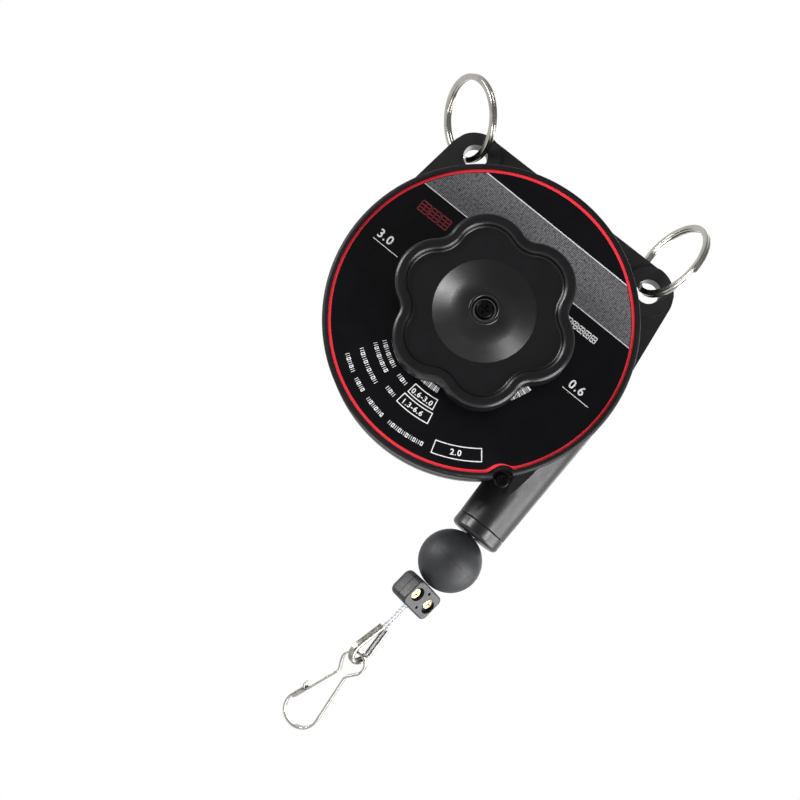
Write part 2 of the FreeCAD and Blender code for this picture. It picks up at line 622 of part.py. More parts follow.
def knob_screw():
    """Pan-head screw in the arbor's end."""
    seat_y = KNOB_FLOOR_Y - KSPRING_L - KWASHER_T
    head = cyl(KSCREW_HEAD_R, seat_y - KSCREW_HEAD_H, seat_y)
    top = [e for e in head.Edges if e.BoundBox.YMax < seat_y - KSCREW_HEAD_H + 1e-6]
    head = head.makeFillet(1.1, top)
    slot = cross_slot(3.8, 0.8, 1.3)
    slot.translate(V(0, seat_y - KSCREW_HEAD_H, 0))
    end_y = KNOB_FLOOR_Y + KNOB_FLOOR_T + 1.0
    shank = cyl(KSCREW_R - 0.15, seat_y, end_y + 8)
    return fuse([head, shank]).cut(slot)


def knob_spring():
    """Coil spring, as a stack of closed turns, between knob floor and washer."""
    mean = (KSCREW_R + KWASHER_R) / 2
    first = KNOB_FLOOR_Y - KSPRING_WIRE / 2 - 0.02
    last = KNOB_FLOOR_Y - KSPRING_L + KSPRING_WIRE / 2 + 0.02
    turns = []
    for k in range(KSPRING_COILS):
        y = first + (last - first) * k / (KSPRING_COILS - 1)
        turns.append(Part.makeTorus(mean, KSPRING_WIRE / 2, V(0, y, 0), V(0, 1, 0)))
    return Part.makeCompound(turns)


# ---- drum ----------------------------------------------------------------------
def groove_at(k):
    """Rope centre (radius, y) in groove k, from the small end to the large end."""
    share = k / (TURNS - 1)
    return ROPE_X + (DRUM_END_R - ROPE_X) * share, ROPE_Y + GROOVE_PITCH * k


def drum():
    """Conical grooved drum with the spring cup inside it."""
    points = []

    def line(r0, y0, r1, y1):
        points.append(Part.LineSegment(V(r0, y0, 0), V(r1, y1, 0)).toShape())

    groove = ROPE_R + SEAT
    half = math.sqrt(groove ** 2 - GROOVE_LAND ** 2)
    small_r = CUP_R + CUP_WALL
    start_y = ROPE_Y - GROOVE_PITCH
    line(small_r, DRUM_Y0, small_r, start_y)
    last = (small_r, start_y)
    for k in range(TURNS):
        r, y = groove_at(k)
        lip = r - GROOVE_LAND
        line(last[0], last[1], lip, y - half)
        arc = Part.Arc(V(lip, y - half, 0), V(r - groove, y, 0), V(lip, y + half, 0))
        points.append(arc.toShape())
        last = (lip, y + half)
    flange_r = DRUM_END_R + FLANGE_UP
    flange_y = last[1] + 0.3
    line(last[0], last[1], flange_r, flange_y)
    line(flange_r, flange_y, flange_r, DRUM_Y1)
    line(flange_r, DRUM_Y1, CUP_R + CUP_WALL - CUP_LEDGE, DRUM_Y1)
    line(CUP_R + CUP_WALL - CUP_LEDGE, DRUM_Y1, CUP_R + CUP_WALL - CUP_LEDGE, COVER_Y)
    line(CUP_R + CUP_WALL - CUP_LEDGE, COVER_Y, CUP_R, COVER_Y)
    line(CUP_R, COVER_Y, CUP_R, DRUM_Y0 + DRUM_WEB_T)
    hub_r = DRUM_BUSH_R + 2.5
    line(CUP_R, DRUM_Y0 + DRUM_WEB_T, hub_r, DRUM_Y0 + DRUM_WEB_T)
    line(hub_r, DRUM_Y0 + DRUM_WEB_T, hub_r, SPRING_Y0 - 0.4)
    line(hub_r, SPRING_Y0 - 0.4, DRUM_BUSH_R + SEAT / 2, SPRING_Y0 - 0.4)
    line(DRUM_BUSH_R + SEAT / 2, SPRING_Y0 - 0.4, DRUM_BUSH_R + SEAT / 2, DRUM_Y0)
    line(DRUM_BUSH_R + SEAT / 2, DRUM_Y0, small_r, DRUM_Y0)
    body = Part.Face(Part.Wire(points)).revolve(V(0, 0, 0), V(0, 1, 0), 360)
    holes = [spin(cyl(DRUM_HOLE_R, DRUM_Y0 - 1, DRUM_Y0 + DRUM_WEB_T + 1, CUP_R - DRUM_HOLE_IN), 60.0 * k)
             for k in range(6)]
    r_last, y_last = groove_at(TURNS - 1)
    anchor = Part.makeCylinder(1.9 + SEAT, 6, V(r_last - 3.2, y_last, -1.0), V(0, 0, 1))
    return body.cut(holes).cut(anchor)


def drum_bush(y0, y1):
    """Plain bush of the drum on the arbor."""
    return tube(DRUM_BUSH_R, ARBOR_R + FIT, y0, y1)


def spring_cover():
    """Disc that closes the spring cup, with lightening holes."""
    disc = tube(CUP_R + CUP_WALL - CUP_LEDGE - SEAT, DRUM_BUSH_R + SEAT / 2, COVER_Y, COVER_Y + COVER_T)
    holes = [spin(cyl(COVER_HOLE_R, COVER_Y - 1, COVER_Y + COVER_T + 1, CUP_R - COVER_HOLE_IN), 30 + 60.0 * k)
             for k in range(6)]
    return disc.cut(holes)


def cover_screws():
    """Three small screws that hold the spring cover."""
    at = CUP_R + CUP_WALL - CUP_LEDGE - COVER_SCREW_R - GAP
    screws = []
    for k in range(3):
        head = cyl(COVER_SCREW_R, COVER_Y + COVER_T, COVER_Y + COVER_T + COVER_SCREW_H, at)
        screws.append(spin(head, 90 + 120.0 * k))
    return Part.makeCompound(screws)


def power_spring():
    """Flat spiral spring: half circles about two centres, drawn as one strip."""
    r_in = ARBOR_SEAT_R + GAP
    r_out = CUP_R - GAP - STRIP_T
    pitch = (r_out - r_in) / SPRING_TURNS
    halves = 2 * SPRING_TURNS

    def side(extra):
        arcs = []
        x = r_in + extra
        for k in range(halves):
            r = r_in + extra + k * pitch / 2
            sign = 1 if k % 2 == 0 else -1
            center = x - sign * r
            start = V(x, 0, 0)
            mid = V(center, 0, sign * r)
            end = V(center - sign * r, 0, 0)
            arcs.append((start, mid, end))
            x = center - sign * r
        return arcs

    inner = side(0.0)
    outer = side(STRIP_T)
    edges = [Part.Arc(a, b, c).toShape() for a, b, c in inner]
    edges += [Part.Arc(a, b, c).toShape() for a, b, c in outer]
    edges.append(Part.LineSegment(inner[0][0], outer[0][0]).toShape())
    edges.append(Part.LineSegment(inner[-1][2], outer[-1][2]).toShape())
    wire = Part.Wire(Part.__sortEdges__(edges))
    strip = Part.Face(wire).extrude(V(0, STRIP_W - 0.6, 0))
    strip.translate(V(0, SPRING_Y0 + 0.3, 0))
    return strip


def rope_winding():
    """The rope's turns at rest, one ring in each groove; the first one ends where
    the rope leaves the drum."""
    rings = []
    for k in range(TURNS):
        r, y = groove_at(k)
        if k == 0:
            face = Part.Face(Part.Wire(Part.makeCircle(ROPE_R, V(r, y, 0), V(0, 0, 1))))
            rings.append(face.revolve(V(0, 0, 0), V(0, 1, 0), -325))
        else:
            rings.append(Part.makeTorus(r, ROPE_R, V(0, y, 0), V(0, 1, 0)))
    return Part.makeCompound(rings)


# ---- rings ---------------------------------------------------------------------
def split_ring():
    """Two stacked flat coils joined by a slanting crossing; axis along Z."""
    section = RING_T - 0.02

    def face(z, deg):
        x0 = RING_R - RING_W
        points = [V(x0, 0, z + 0.3), V(x0 + 0.3, 0, z), V(RING_R - 0.3, 0, z), V(RING_R, 0, z + 0.3),
                  V(RING_R, 0, z + section - 0.3), V(RING_R - 0.3, 0, z + section),
                  V(x0 + 0.3, 0, z + section), V(x0, 0, z + section - 0.3)]
        wire = Part.makePolygon(points + points[:1])
        wire.rotate(V(0, 0, 0), V(0, 0, 1), deg)
        return wire

    sweep = 360.0 - RING_SPLIT - 2.0
    upper = Part.Face(face(0.01, RING_SPLIT)).revolve(V(0, 0, 0), V(0, 0, 1), sweep)
    lower = Part.Face(face(-RING_T + 0.01, RING_SPLIT)).revolve(V(0, 0, 0), V(0, 0, 1), sweep)
    start = face(0.01, RING_SPLIT + sweep)
    end = face(-RING_T + 0.01, RING_SPLIT + 360.0)
    crossing = Part.makeLoft([start, end], True, True)
    join = Part.makeBox(RING_W - 1.0, 6.0, 0.1, V(RING_R - RING_W + 0.5, -3.0, -0.05))
    join.rotate(V(0, 0, 0), V(0, 0, 1), 180)
    return upper.fuse([lower, crossing, join]).removeSplitter()


def place_ring(side, stand):
    """Hang a ring in an ear hole, standing in a direction, twisted about it."""
    ring = split_ring()
    ring.rotate(V(0, 0, 0), V(0, 0, 1), 20)
    ring.rotate(V(0, 0, 0), V(0, 1, 0), 90)
    ring.rotate(V(0, 0, 0), V(0, 0, 1), RING_TWIST)
    ring.translate(V(0, 0, ring_rise()))
    ring.rotate(V(0, 0, 0), V(0, 1, 0), 90 - stand)
    ring.translate(V(side * EYE_X, EAR_MID_Y, EYE_Z))
    return ring


def ring_rise():
    """Height of a ring's centre over the ear hole's centre."""
    sag = (EAR_T / 2 / math.cos(math.radians(RING_TWIST))) ** 2 / (2 * (RING_R - RING_W))
    return EYE_R - GAP + RING_R - 2 * RING_W - sag


# ---- chain on the rope's end ---------------------------------------------------
def rope_lead():
    """Straight rope from the drum down to the spout's mouth."""
    return Part.makeCylinder(ROPE_R, -NOZZLE_END - 0.1, V(ROPE_X, ROPE_Y, NOZZLE_END))


def stop_ball():
    """Rubber ball bored for the rope."""
    ball = Part.makeSphere(BALL_R, V(0, 0, -BALL_R - BALL_GAP))
    bore = Part.makeCylinder(ROPE_R + SEAT, 3 * BALL_R, V(0, 0, -3 * BALL_R))
    return chain_place(ball.cut(bore))


def strand_points():
    """Tangent points of the rope eye in its own plane: half angle, arc end, merge."""
    a = 0.0
    for _ in range(30):
        a = math.asin((EYE_BEND_R - STRAND_HALF * math.cos(a)) / MERGE_RISE)
    return a


def rope_solids(r):
    """The rope below the spout: through the ball, then two strands and the eye."""
    a = strand_points()
    top = CLAMP_TOP
    stem = Part.makeCylinder(r, -top - 0.15, V(0, 0, top))
    solids = [stem]
    for side in (-1, 1):
        merge = V(side * STRAND_HALF, 0, MERGE_Z)
        upper = CLAMP_TOP - 1.4
        solids.append(Part.makeCylinder(r, upper - MERGE_Z, merge))
        touch = V(side * EYE_BEND_R * math.cos(a), 0, THIMBLE_Z + EYE_BEND_R * math.sin(a))
        way = touch - merge
        solids.append(Part.makeCylinder(r, way.Length, merge, way))
        solids.append(Part.makeSphere(r, merge))
        solids.append(Part.makeSphere(r, V(side * STRAND_HALF, 0, upper)))
    solids.append(Part.makeCylinder(r, 2.2, V(0, 0, CLAMP_TOP - 2.0)))
    face = Part.Face(Part.Wire(Part.makeCircle(
        r, V(EYE_BEND_R * math.cos(a), 0, THIMBLE_Z + EYE_BEND_R * math.sin(a)),
        V(-math.sin(a), 0, math.cos(a)))))
    bend = face.revolve(V(0, 0, THIMBLE_Z), V(0, 1, 0), 180 + 2 * math.degrees(a))
    solids.append(bend)
    return solids


def rope_eye():
    """Rope end turned back on itself round the thimble."""
    return chain_place(rope_solids(ROPE_R)[0].fuse(rope_solids(ROPE_R)[1:]), EYE_TURN)


def thimble():
    """Channel bent to a teardrop that lines the rope eye."""
    a = strand_points()
    inner = ROPE_R + 0.06
    base = ROPE_R + THIMBLE_WALL
    half = THIMBLE_HALF
    section = [(-base, -half + 0.7), (-base, half - 0.7), (-base + 0.7, half), (THIMBLE_FLANGE, half),
               (THIMBLE_FLANGE, half - 0.5), (-0.5, half - 0.5), (-inner, 0.5), (-inner, -0.5),
               (-0.5, -half + 0.5), (THIMBLE_FLANGE, -half + 0.5), (THIMBLE_FLANGE, -half),
               (-base + 0.7, -half)]
    out = V(math.cos(a), 0, math.sin(a))
    at = V(EYE_BEND_R * out.x, 0, THIMBLE_Z + EYE_BEND_R * out.z)
    wire = Part.makePolygon([at + out * e + V(0, w, 0) for e, w in section + section[:1]])
    bend = Part.Face(wire).revolve(V(0, 0, THIMBLE_Z), V(0, 1, 0), 180 + 2 * math.degrees(a))
    meet = (THIMBLE_HALF + 0.1) / math.cos(a)
    rise = MERGE_RISE - (meet - STRAND_HALF) / math.tan(a)
    length = (rise - EYE_BEND_R * math.sin(a)) / math.cos(a)
    leg = Part.Face(wire).extrude(V(-math.sin(a), 0, math.cos(a)) * length)
    other = leg.mirror(V(0, 0, 0), V(1, 0, 0))
    return chain_place(bend.fuse([leg, other]).removeSplitter(), EYE_TURN)


def clamp_half(front):
    """One half of the rope clamp, grooved for both strands."""
    low = CLAMP_MID - CLAMP_H / 2
    block = Part.makeBox(CLAMP_W, CLAMP_D, CLAMP_H, V(-CLAMP_W / 2, -CLAMP_D / 2, low))
    across = [e for e in block.Edges if e.BoundBox.YLength > CLAMP_D - 1e-6]
    block = block.makeFillet(CLAMP_ROUND, across)
    faces = [e for e in block.Edges if e.BoundBox.YLength < 1e-6]
    block = block.makeFillet(CLAMP_EDGE, faces)
    y0 = -CLAMP_D if front else CLAMP_SPLIT / 2
    y1 = -CLAMP_SPLIT / 2 if front else CLAMP_D
    block = block.common(Part.makeBox(2 * CLAMP_W, y1 - y0, 2 * CLAMP_H, V(-CLAMP_W, y0, low - CLAMP_H / 2)))
    for sx, sz in screw_spots():
        head_y = -CLAMP_D / 2 + CSCREW_SINK + CSCREW_HEAD_H
        nut_y = CLAMP_D / 2 - NUT_SINK - NUT_T
        block = block.cut(cyl(CSCREW_R + SEAT, -CLAMP_D, CLAMP_D, sx, sz))
        block = block.cut(cyl(CSCREW_HEAD_R + GAP, -CLAMP_D, head_y, sx, sz))
        block = block.cut(hexagon(NUT_R + SEAT, CLAMP_D, V(sx, nut_y, sz)))
    for solid in rope_solids(ROPE_R + SEAT):
        solid.rotate(V(0, 0, 0), V(0, 0, 1), EYE_TURN - CLAMP_TURN)
        block = block.cut(solid)
    return chain_place(block, CLAMP_TURN)


def screw_spots():
    """Clamp screw axes, one on each side of the strands."""
    return [(-CSCREW_OFF_X, CLAMP_MID - CSCREW_OFF_Z), (CSCREW_OFF_X, CLAMP_MID + CSCREW_OFF_Z)]


def hexagon(r, length, base):
    """Hexagonal prism along +Y from a base point."""
    points = [V(base.x + r * math.cos(math.radians(60 * k)), base.y, base.z + r * math.sin(math.radians(60 * k)))
              for k in range(7)]
    return Part.Face(Part.makePolygon(points)).extrude(V(0, length, 0))


def clamp_screws():
    """Two brass cheese-head screws through the clamp."""
    screws = []
    for sx, sz in screw_spots():
        top_y = -CLAMP_D / 2 + CSCREW_SINK
        head = cyl(CSCREW_HEAD_R, top_y, top_y + CSCREW_HEAD_H, sx, sz)
        rim = [e for e in head.Edges if e.BoundBox.YMax < top_y + 1e-6]
        head = head.makeFillet(0.5, rim)
        slot = cross_slot(3.0, 0.6, 0.7)
        slot.translate(V(sx, top_y, sz))
        shank = cyl(CSCREW_R - SEAT, top_y + CSCREW_HEAD_H, CLAMP_D / 2 - NUT_SINK, sx, sz)
        screws.append(head.fuse(shank).cut(slot))
    return chain_place(Part.makeCompound(screws), CLAMP_TURN)


def clamp_nuts():
    """Two nuts seated in the clamp's rear half."""
    nuts = []
    for sx, sz in screw_spots():
        nut = hexagon(NUT_R, NUT_T, V(sx, CLAMP_D / 2 - NUT_SINK - NUT_T, sz))
        nuts.append(nut.cut(cyl(CSCREW_R, -CLAMP_D, CLAMP_D, sx, sz)))
    return chain_place(Part.makeCompound(nuts), CLAMP_TURN)


# ---- snap hook -----------------------------------------------------------------
def hook_place(shape):
    """Move a shape drawn in the hook's own plane on to the thimble."""
    placed = shape.copy()
    placed.rotate(V(0, 0, 0), V(0, 1, 0), HOOK_LEAN - CHAIN_LEAN)
    placed.rotate(V(0, 0, 0), V(1, 0, 0), HOOK_TILT)
    placed.translate(V(HOOK_SIDE, 0, HOOK_Q))
    return chain_place(placed, HOOK_TURN)


def strip_line(p, q, width=HOOK_W, thick=HOOK_T):
    """Straight piece of strip between two points of the hook's plane."""
    way = V(q[0] - p[0], 0, q[1] - p[1])
    length = way.Length
    bar = Part.makeBox(length, width, thick, V(0, -width / 2, -thick / 2))
    bar.rotate(V(0, 0, 0), V(0, 1, 0), -math.degrees(math.atan2(way.z, way.x)))
    bar.translate(V(p[0], 0, p[1]))
    return bar


def strip_arc(center, r, deg0, deg1, width=HOOK_W, thick=HOOK_T):
    """Bent piece of strip about a centre, between two angles."""
    face = Part.makePlane(thick, width, V(center[0] + r - thick / 2, -width / 2, center[1]), V(0, 0, 1))
    arc = face.revolve(V(center[0], 0, center[1]), V(0, 1, 0), -(deg1 - deg0))
    arc.rotate(V(center[0], 0, center[1]), V(0, 1, 0), -deg0)
    return arc


def hook_lines():
    """Points of the hook's centre line: eye ends, necks, bow ends, clasp."""
    eye = (0.0, -HOOK_EYE_R)
    bow = (0.0, -BOW_DOWN)
    neck = (NECK_HALF, -NECK_DOWN)
    drop = math.hypot(neck[0] - eye[0], neck[1] - eye[1])
    toward = math.degrees(math.atan2(neck[1] - eye[1], neck[0] - eye[0]))
    eye_end = toward + math.degrees(math.acos(HOOK_EYE_R / drop))
    reach = math.hypot(neck[0] - bow[0], neck[1] - bow[1])
    rising = math.degrees(math.atan2(neck[1] - bow[1], neck[0] - bow[0]))
    bow_end = rising - math.degrees(math.acos(BOW_R / reach))
    return eye, bow, neck, eye_end, bow_end


def on_circle(center, r, deg):
    """Point of a circle in the hook's plane."""
    return (center[0] + r * math.cos(math.radians(deg)), center[1] + r * math.sin(math.radians(deg)))


def clasp_frame():
    """Start of the clasp on the left arm's line and the arm's direction upwards."""
    eye, bow, neck, eye_end, bow_end = hook_lines()
    low = on_circle(bow, BOW_R, 180 - bow_end)
    way = V(-neck[0] - low[0], 0, neck[1] - low[1]).normalize()
    return low, way


def snap_hook():
    """Hook strip from the clasp round the bow, up the fixed arm and over the eye."""
    eye, bow, neck, eye_end, bow_end = hook_lines()
    right_low = on_circle(bow, BOW_R, bow_end)
    eye_low = on_circle(eye, HOOK_EYE_R, eye_end)
    left_low = (-eye_low[0], eye_low[1])
    left_neck = (-neck[0], neck[1])
    low, way = clasp_frame()
    out = V(-way.z, 0, way.x)
    shift = HOOK_T + ARM_GAP
    base0 = (low[0] + out.x * shift, low[1] + out.z * shift)
    base1 = (base0[0] + way.x * CLASP_L, base0[1] + way.z * CLASP_L)
    wide = HOOK_W + 2 * (GAP + CLASP_SIDE_T)
    lip_way = (out.x * 0.8 + way.x * 0.6, out.z * 0.8 + way.z * 0.6)
    lip1 = (base1[0] + lip_way[0] * CLASP_LIP, base1[1] + lip_way[1] * CLASP_LIP)
    shapes = [
        strip_arc(bow, BOW_R + shift / 2, 180 - bow_end, 360 + bow_end),
        strip_line(right_low, neck),
        strip_line(neck, eye_low),
        strip_arc(eye, HOOK_EYE_R, eye_end, 180 - eye_end),
        strip_line(left_low, left_neck),
        strip_line(base0, base1, wide),
        strip_line(base1, lip1, wide),
        Part.makeCylinder(HOOK_T / 2, HOOK_W, V(neck[0], -HOOK_W / 2, neck[1]), V(0, 1, 0)),
        Part.makeCylinder(HOOK_T / 2, HOOK_W, V(-neck[0], -HOOK_W / 2, neck[1]), V(0, 1, 0)),
    ]
    for side in (-1, 1):
        y0 = side * (HOOK_W / 2 + GAP) - (CLASP_SIDE_T if side < 0 else 0)
        flange = Part.makeBox(CLASP_L, CLASP_SIDE_T, HOOK_T + ARM_GAP + HOOK_T / 2,
                              V(0, y0, -HOOK_T - ARM_GAP))
        flange.rotate(V(0, 0, 0), V(0, 1, 0), -math.degrees(math.atan2(way.z, way.x)))
        flange.translate(V(low[0] + out.x * shift, 0, low[1] + out.z * shift))
        shapes.append(flange)
    return hook_place(fuse(shapes))


def hook_arm():
    """Springy arm from the neck down into the clasp."""
    low, way = clasp_frame()
    eye, bow, neck, eye_end, bow_end = hook_lines()
    start = (low[0] + way.x * 0.8, low[1] + way.z * 0.8)
    end = (-neck[0] - way.x * (HOOK_T / 2 + GAP), neck[1] - way.z * (HOOK_T / 2 + GAP))
    return hook_place(strip_line(start, end))


# ---- write every piece ---------------------------------------------------------
PIECES = {
    "front_cover": front_cover,
    "label_plate": label_plate,
    "lock_screw": lock_screw,
    "rear_shell": rear_shell,
    "spout_nozzle": spout_nozzle,
    "lock_ring": lock_ring,
    "cover_bush": cover_bush,
    "rear_bush": rear_bush,
    "rear_cap": rear_cap,
    "arbor": arbor,
    "arbor_clip": arbor_clip,
    "knob": knob,
    "knob_screw": knob_screw,
    "knob_washer": knob_washer,
    "knob_spring": knob_spring,
    "drum": drum,
    "drum_bush_front": lambda: drum_bush(CLIP_Y + CLIP_T + 0.1, SPRING_Y0 - 0.3),
    "drum_bush_rear": lambda: drum_bush(SPRING_Y1 + 0.1, DRUM_Y1 + 0.3),
    "spring_cover": spring_cover,
    "cover_screws": cover_screws,
    "power_spring": power_spring,
    "rope_winding": rope_winding,
    "ring_left": lambda: place_ring(-1, LEFT_RING_A),
    "ring_right": lambda: place_ring(1, RIGHT_RING_A),
    "rope_lead": rope_lead,
    "stop_ball": stop_ball,
    "clamp_front": lambda: clamp_half(True),
    "clamp_rear": lambda: clamp_half(False),
    "clamp_screws": clamp_screws,
    "clamp_nuts": clamp_nuts,
    "rope_eye": rope_eye,
    "thimble": thimble,
    "snap_hook": snap_hook,
    "hook_arm": hook_arm,
}

os.makedirs("parts", exist_ok=True)
for piece_name, make in PIECES.items():
    save(piece_name, make())
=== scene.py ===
"""Tool balancer, dressed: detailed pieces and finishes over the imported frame.

Every piece is drawn in millimetres in the reel's own frame: the disc's axis is Y, the
label's face is y = 0, the front looks towards -Y and +Z is up. ``TO_PART`` carries it
into the part's frame, in metres, whose origin lies midway between the two ear holes.
Sizes are in mm and angles in degrees unless a comment says otherwise.
"""
import logging
import math
from collections.abc import Callable, Iterable, Sequence
from dataclasses import dataclass, field
from enum import Enum

import bmesh
import bpy
from mathutils import Matrix, Vector


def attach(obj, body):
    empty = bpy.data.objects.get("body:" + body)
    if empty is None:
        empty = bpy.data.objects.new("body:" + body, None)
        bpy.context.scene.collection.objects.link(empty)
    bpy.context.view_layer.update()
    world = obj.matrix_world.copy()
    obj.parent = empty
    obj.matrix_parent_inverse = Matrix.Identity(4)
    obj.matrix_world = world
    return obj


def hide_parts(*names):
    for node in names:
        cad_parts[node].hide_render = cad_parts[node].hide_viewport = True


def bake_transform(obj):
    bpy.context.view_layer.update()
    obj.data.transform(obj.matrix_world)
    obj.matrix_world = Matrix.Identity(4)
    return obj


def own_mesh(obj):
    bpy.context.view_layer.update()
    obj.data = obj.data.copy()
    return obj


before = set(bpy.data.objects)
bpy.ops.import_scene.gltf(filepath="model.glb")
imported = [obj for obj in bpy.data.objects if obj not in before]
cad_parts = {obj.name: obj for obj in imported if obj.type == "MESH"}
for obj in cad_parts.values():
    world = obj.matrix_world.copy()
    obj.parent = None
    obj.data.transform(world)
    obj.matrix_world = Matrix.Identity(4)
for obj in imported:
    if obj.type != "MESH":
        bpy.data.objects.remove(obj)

Triple = tuple[float, float, float]
Colour = tuple[float, float, float, float]
Socket = bpy.types.NodeSocket
Radius = Callable[[float], float]

LOG = logging.getLogger("balancer")
EYE_RADIUS = 67.0       # ear hole from the disc's axis
EYE_TURN = math.radians(50.5)
EYE_DEPTH = 21.0        # middle of the ear behind the label's face
EYE = Vector((EYE_RADIUS * math.cos(EYE_TURN), EYE_DEPTH, EYE_RADIUS * math.sin(EYE_TURN)))
TO_PART = Matrix.Scale(0.001, 4) @ Matrix.Translation((0.0, -EYE.y, -EYE.z))
DISC = TO_PART @ Vector((0.0, 0.0, 0.0))


# ---- node trees ------------------------------------------------------------------
def linear(colour: str) -> Colour:
    """Turn an sRGB hex colour such as "1a2b3c" into linear RGBA."""
    parts = [int(colour[i:i + 2], 16) / 255 for i in (0, 2, 4)]
    return tuple(p / 12.92 if p <= 0.04045 else ((p + 0.055) / 1.055) ** 2.4 for p in parts) + (1.0,)


class Graph:
    """A node tree under construction."""

    def __init__(self, tree: bpy.types.NodeTree) -> None:
        """Take the node tree to fill and clear its default nodes."""
        self.tree = tree
        tree.nodes.clear()

    def add(self, kind: str, inputs: dict | None = None, **settings: object) -> bpy.types.Node:
        """Add a node, set its properties and fill or link its inputs.

        Args:
            kind: Node type without its "ShaderNode" prefix.
            inputs: Socket name or number to a value, or to an output socket.
            **settings: Properties of the node.

        Returns:
            The new node.
        """
        made = self.tree.nodes.new("ShaderNode" + kind)
        for name, value in settings.items():
            setattr(made, name, value)
        for key, value in (inputs or {}).items():
            if isinstance(value, Socket):
                self.tree.links.new(value, made.inputs[key])
            else:
                made.inputs[key].default_value = value
        return made

    def maths(self, operation: str, *values: float | Socket) -> Socket:
        """Return the result of a Math node over values or sockets."""
        return self.add("Math", dict(enumerate(values)), operation=operation).outputs[0]

    def length(self, x: Socket, z: Socket) -> Socket:
        """Return the length of a flat vector."""
        squares = self.maths("POWER", x, 2.0), self.maths("POWER", z, 2.0)
        return self.maths("SQRT", self.maths("ADD", *squares))

    def step(self, value: Socket, start: float, end: float) -> Socket:
        """Return a smooth rise from 0 at start to 1 at end."""
        return self.add("MapRange", {"Value": value, "From Min": start, "From Max": end},
                        interpolation_type="SMOOTHSTEP").outputs["Result"]

    def mix(self, share: Socket, first: Colour | Socket, second: Colour | Socket) -> Socket:
        """Return the colour between first and second by a share."""
        return self.add("Mix", {0: share, 6: first, 7: second}, data_type="RGBA").outputs[2]

    def millimetres(self, scale: Triple = (1.0, 1.0, 1.0)) -> Socket:
        """Measure the object's own coordinates from the disc's centre.

        Args:
            scale: Factors along X, Y and Z.

        Returns:
            The coordinates in millimetres, as a vector.
        """
        place = self.add("TexCoord").outputs["Object"]
        moved = self.add("VectorMath", {0: place, 1: tuple(-v for v in DISC)}, operation="ADD").outputs[0]
        return self.add("VectorMath", {0: moved, 1: tuple(1000.0 * s for s in scale)},
                        operation="MULTIPLY").outputs[0]

    def flat(self) -> tuple[Socket, Socket]:
        """Return X and Z in millimetres from the disc's centre."""
        parts = self.add("SeparateXYZ", {0: self.millimetres()}).outputs
        return parts[0], parts[2]

    def noise(self, size: float, detail: float = 2.0, scale: Triple = (1.0, 1.0, 1.0)) -> Socket:
        """Return noise whose grains are about size millimetres wide."""
        return self.add("TexNoise", {"Vector": self.millimetres(scale), "Scale": 1.0 / size,
                                     "Detail": detail}).outputs["Fac"]


# ---- finishes --------------------------------------------------------------------
class Metal(Enum):
    """Whether a finish conducts, as the shader's metallic value."""

    NO = 0.0
    YES = 1.0


@dataclass(frozen=True)
class Finish:
    """A surface finish with grain, colour drift and gloss drift.

    Attributes:
        name: Real material and process.
        colour: Colour in sRGB hex.
        worn: Colour of the lighter patches.
        rough: Lowest and highest roughness.
        grain: Width of the surface grain.
        relief: Height of the grain.
        patch: Width of the colour patches.
        metal: Whether the material is a metal.
        stretch: Scale of the grain along X, Y and Z; below 1 it is drawn out.
        specular: Level of the reflection of what isn't metal.
        anisotropic: How far the shine is drawn out along the tangent.
    """

    name: str
    colour: str
    worn: str
    rough: tuple[float, float] = (0.4, 0.5)
    grain: float = 0.4
    relief: float = 0.01
    patch: float = 12.0
    metal: Metal = Metal.NO
    stretch: Triple = (1.0, 1.0, 1.0)
    specular: float = 0.5
    anisotropic: float = 0.0

    def colour_socket(self, graph: Graph) -> Socket:
        """Return the colour that drifts between the base and the worn tone."""
        drift = graph.step(graph.noise(self.patch, 3.0), 0.35, 0.75)
        return graph.mix(drift, linear(self.colour), linear(self.worn))

    def height_socket(self, graph: Graph) -> Socket:
        """Return the surface's relief, from 0 to 1."""
        return graph.noise(self.grain, 2.0, self.stretch)

    def tangent_socket(self, graph: Graph) -> Socket | None:
        """Return the direction that the shine is drawn along, if there is one."""
        return None

    def material(self) -> bpy.types.Material:
        """Make the finish's material, once.

        Returns:
            The material, new or already known.
        """
        known = bpy.data.materials.get(self.name)
        if known:
            return known
        made = bpy.data.materials.new(self.name)
        made.use_nodes = True
        graph = Graph(made.node_tree)
        rough = graph.add("MapRange", {"Value": graph.noise(self.patch / 3, 4.0), "From Min": 0.3,
                                       "From Max": 0.7, "To Min": self.rough[0],
                                       "To Max": self.rough[1]}).outputs["Result"]
        bump = graph.add("Bump", {"Height": self.height_socket(graph), "Strength": 1.0,
                                  "Distance": self.relief * 0.001})
        surface = graph.add("BsdfPrincipled", {
            "Base Color": self.colour_socket(graph), "Roughness": rough, "Metallic": self.metal.value,
            "Normal": bump.outputs[0], "Specular IOR Level": self.specular, "Anisotropic": self.anisotropic})
        tangent = self.tangent_socket(graph)
        if tangent:
            graph.tree.links.new(tangent, surface.inputs["Tangent"])
        graph.add("OutputMaterial", {"Surface": surface.outputs[0]})
        return made


